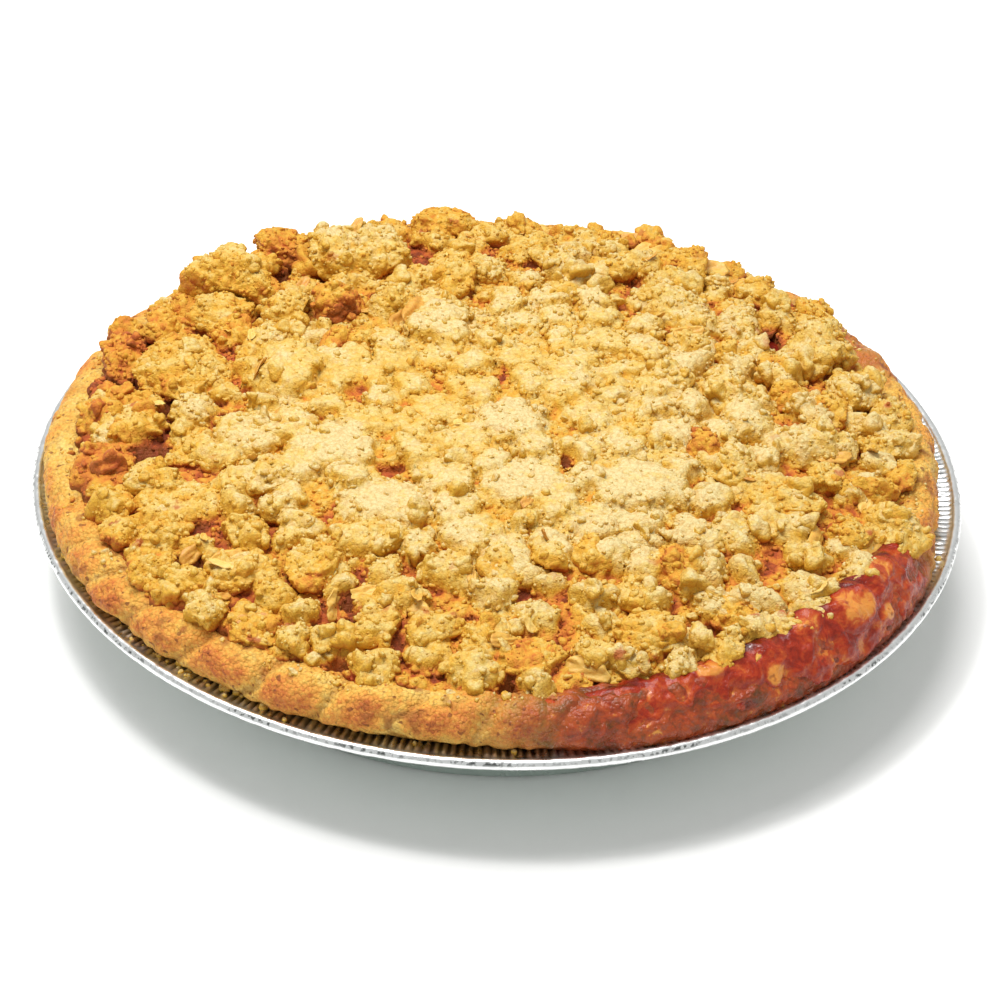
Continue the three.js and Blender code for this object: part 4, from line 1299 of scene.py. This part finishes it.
def scatter_tree():
    """Geometry Nodes that strew copies of a collection's crumbs over a surface."""
    tree = bpy.data.node_groups.new("strew_crumbs", "GeometryNodeTree")
    sockets = {"Geometry": "Geometry", "Kinds": "Collection", "Spacing": "Float",
               "Per Area": "Float", "Smallest": "Float", "Largest": "Float", "Sink": "Float",
               "Tilt": "Float", "Where": "String", "Seed": "Int", "Material": "Material"}
    for name, kind in sockets.items():
        tree.interface.new_socket(name=name, in_out="INPUT", socket_type="NodeSocket" + kind)
    tree.interface.new_socket(name="Geometry", in_out="OUTPUT", socket_type="NodeSocketGeometry")
    given = add(tree, "NodeGroupInput").outputs
    where = add(tree, "GeometryNodeInputNamedAttribute", {"Name": given["Where"]},
                data_type="FLOAT")
    spots = add(tree, "GeometryNodeDistributePointsOnFaces", {
        "Mesh": given["Geometry"], "Distance Min": given["Spacing"],
        "Density Max": given["Per Area"], "Density Factor": where.outputs["Attribute"],
        "Seed": given["Seed"]}, distribute_method="POISSON")
    chance = add(tree, "FunctionNodeRandomValue", {"Seed": given["Seed"]}, data_type="FLOAT")
    small_more = add(tree, MATH, (chance.outputs[1], 1.8), operation="POWER")
    size = add(tree, RANGE, {"Value": small_more, "To Min": given["Smallest"],
                             "To Max": given["Largest"]})
    lower = add(tree, MATH, (size, given["Sink"]), operation="MULTIPLY")
    down = add(tree, VECTOR, {0: spots.outputs["Normal"], "Scale": lower}, operation="SCALE")
    moved = add(tree, "GeometryNodeSetPosition", {
        "Geometry": spots.outputs["Points"], "Offset": down})
    tilt = add(tree, "FunctionNodeRandomValue", {"Seed": 7}, data_type="FLOAT_VECTOR")
    tilt.inputs["Min"].default_value = (-1, -1, -3.2)
    tilt.inputs["Max"].default_value = (1, 1, 3.2)
    spread = add(tree, "ShaderNodeCombineXYZ", {"X": given["Tilt"], "Y": given["Tilt"], "Z": 1.0})
    turn = add(tree, VECTOR, (tilt.outputs[0], spread), operation="MULTIPLY")
    to_turn = add(tree, "FunctionNodeEulerToRotation", {"Euler": turn})
    rotation = add(tree, "FunctionNodeRotateRotation", {
        "Rotation": spots.outputs["Rotation"], "Rotate By": to_turn}, rotation_space="LOCAL")
    kinds = add(tree, "GeometryNodeCollectionInfo", {
        "Collection": given["Kinds"], "Separate Children": True, "Reset Children": True})
    placed = add(tree, "GeometryNodeInstanceOnPoints", {
        "Points": moved, "Instance": kinds, "Pick Instance": True, "Rotation": rotation,
        "Scale": size})
    tone = add(tree, "FunctionNodeRandomValue", {"Seed": 11}, data_type="FLOAT")
    marked = add(tree, "GeometryNodeStoreNamedAttribute", {
        "Geometry": placed, "Name": "tone", "Value": tone.outputs[1]},
        data_type="FLOAT", domain="INSTANCE")
    real = add(tree, "GeometryNodeRealizeInstances", {"Geometry": marked})
    painted = add(tree, "GeometryNodeSetMaterial", {
        "Geometry": real, "Material": given["Material"]})
    add(tree, "NodeGroupOutput", {"Geometry": painted})
    return tree


def strew(name, tree, ground, **inputs):
    """Strews over ground and returns the result as a plain mesh object."""
    host = put(name + "_ground", ground.data)
    modifier = host.modifiers.new("strew", "NODES")
    modifier.node_group = tree
    for item in tree.interface.items_tree:
        if item.in_out == "INPUT" and item.name.replace(" ", "_") in inputs:
            modifier[item.identifier] = inputs[item.name.replace(" ", "_")]
    bpy.context.view_layer.update()
    graph = bpy.context.evaluated_depsgraph_get()
    mesh = bpy.data.meshes.new_from_object(host.evaluated_get(graph))
    bpy.data.objects.remove(host)
    if "sharp_face" in mesh.attributes:
        mesh.attributes.remove(mesh.attributes["sharp_face"])
    mesh.name = name
    return put(name, mesh)


# --- The scene --------------------------------------------------------------

def dress(piece, node):
    """Puts a piece under the root body, hides the part's node that it stands for and prints its
    triangles.
    """
    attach(piece, "root")
    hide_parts(node)
    triangles = sum(len(face.vertices) - 2 for face in piece.data.polygons)
    print(f"{piece.name}: {triangles} triangles")


crumb = baked_crumb()
pastry = baked_pastry()
jelly = apple_jelly()
oat = rolled_oat()
foil = aluminium_foil()

dress(foil_pan(foil), "foil_pan")
crust = pie_crust(pastry)
dress(crust, "pie_crust")
dress(filling_body(jelly), "apple_filling")
dress(apple_spill(jelly), "apple_filling")

crumb_parts = {"crumb_bed": crumb_bed(), "crumb_clumps": crumb_clumps(),
               "crumb_lesser_clumps": lesser_clumps()}
crumb_pieces = [piece_from(name, part, crumb) for name, part in crumb_parts.items()]
# The ground that crumbs and oats are strewn over: all of it, with the crust's inner side
ground_points, ground_faces, ground_values = merged([*crumb_parts.values(), crust_ground(crust)])
# Strewn crumbs take a third of the ground's painted crease shade
ground_values["crease"] = 0.3 * ground_values["crease"]
ground = make_piece("crumb_ground", ground_points, ground_faces, crumb, **ground_values)

# Each size of scattered crumb: name, where, detail, kinds, spacing, count per square metre,
# smallest and largest in millimetres, and how far it sinks in as a share of its size
SCATTER = [
    ("crumb_lumps", "loose", 4, 7, 7.5, 5200, 5.0, 9.0, -0.12),
    ("crumb_knobs", "loose", 3, 7, 4.2, 17000, 2.8, 5.2, -0.1),
    ("crumb_bits", "fine", 2, 6, 2.0, 52000, 1.6, 3.2, -0.08),
    ("crumb_grains", "fine", 1, 9, 1.5, 200000, 1.2, 2.4, -0.05),
    ("crumb_dust", "fine", 1, 5, 1.0, 190000, 0.7, 1.3, 0.0),
]
tree = scatter_tree()
for seed, row in enumerate(SCATTER, 3):
    name, where, detail, kinds, spacing, count, smallest, largest, sink = row
    crumb_pieces.append(strew(
        name, tree, ground, Kinds=crumb_kinds(name, detail, kinds, crumb), Spacing=spacing * MM,
        Per_Area=float(count), Smallest=smallest * MM, Largest=largest * MM, Sink=sink, Tilt=3.0,
        Where=where, Seed=seed, Material=crumb))
for piece in (*crumb_pieces, fallen_crumbs(crumb)):
    dress(piece, "crumb_topping")

OAT_SPACING = 9
OATS_PER_AREA = 2600.0           # a square metre
OAT_SMALLEST, OAT_LARGEST = 4.5, 8.5
oats = strew("oat_flakes", tree, ground, Kinds=oat_kinds(oat), Spacing=OAT_SPACING * MM,
             Per_Area=OATS_PER_AREA, Smallest=OAT_SMALLEST * MM, Largest=OAT_LARGEST * MM,
             Sink=0.02, Tilt=0.5, Where="loose", Seed=26, Material=oat)
dress(oats, "crumb_topping")
dress(landmark_flakes(ground_points, oat), "crumb_topping")
bpy.data.objects.remove(ground)

# Floor, light and camera
FLOOR_SIZE = 6.0                 # metres
WHITE = (1, 1, 1)
KEY = ((-0.16, 0.08, 1.0), 0.75, 10.1)        # place and width in metres, watts
GLINT = ((-0.22, -0.12, 0.92), 0.12, 2.2)
SKY_COLOUR = (1, 1, 0.99, 1)
SKY_STRENGTH = 0.6
CAMERA_DISTANCE = 0.9            # metres, to the middle of the rim
CAMERA_ELEVATION = 34.6          # degrees
CAMERA_ROLL = 2.3                # degrees: the photograph is turned a little clockwise
CAMERA_LENS = 121.7
CAMERA_SENSOR = 36
CAMERA_SHIFT = (0.0021, -0.0272)


def pale_floor():
    """Matt white paper, so that the pie stands on a plain pale ground."""
    material, tree, _ = new_material("white_paper")
    finish_material(tree, rgb("#f7f6f5"), Roughness=0.9, Specular_IOR_Level=0.1)
    mesh = bpy.data.meshes.new("floor")
    half = FLOOR_SIZE / 2
    mesh.from_pydata([(-half, -half, 0), (half, -half, 0), (half, half, 0), (-half, half, 0)], [],
                     [(0, 1, 2, 3)])
    mesh.materials.append(material)
    put("floor", mesh)


def soft_light(name, place, width, watts):
    """A round lamp that faces the middle of the pan's rim."""
    lamp = bpy.data.lights.new(name, "AREA")
    lamp.shape = "DISK"
    lamp.size = width
    lamp.energy = watts
    lamp.color = WHITE
    holder = put(name, lamp)
    holder.location = place
    holder.rotation_mode = "QUATERNION"
    aim = Vector((0, 0, PAN_TOP * MM)) - Vector(place)
    holder.rotation_quaternion = aim.to_track_quat("-Z", "Y")


def place_camera():
    """The photograph's camera."""
    elevation = math.radians(CAMERA_ELEVATION)
    back = Vector((0, -math.cos(elevation), math.sin(elevation)))
    lens = bpy.data.cameras.new("camera")
    lens.lens = CAMERA_LENS
    lens.sensor_width = CAMERA_SENSOR
    lens.shift_x, lens.shift_y = CAMERA_SHIFT
    camera = put("camera", lens)
    camera.location = back * CAMERA_DISTANCE + Vector((0, 0, (PAN_FLANGE_HEIGHT + 0.2) * MM))
    camera.rotation_mode = "QUATERNION"
    roll = Quaternion((0, 0, 1), math.radians(CAMERA_ROLL))
    camera.rotation_quaternion = (-back).to_track_quat("-Z", "Y") @ roll
    bpy.context.scene.camera = camera


pale_floor()
soft_light("key_light", *KEY)
soft_light("glint_light", *GLINT)
place_camera()
world = bpy.data.worlds.new("studio")
bpy.context.scene.world = world
world.use_nodes = True
sky = world.node_tree.nodes["Background"].inputs
sky["Color"].default_value = SKY_COLOUR
sky["Strength"].default_value = SKY_STRENGTH
bpy.context.scene.view_settings.view_transform = "Standard"
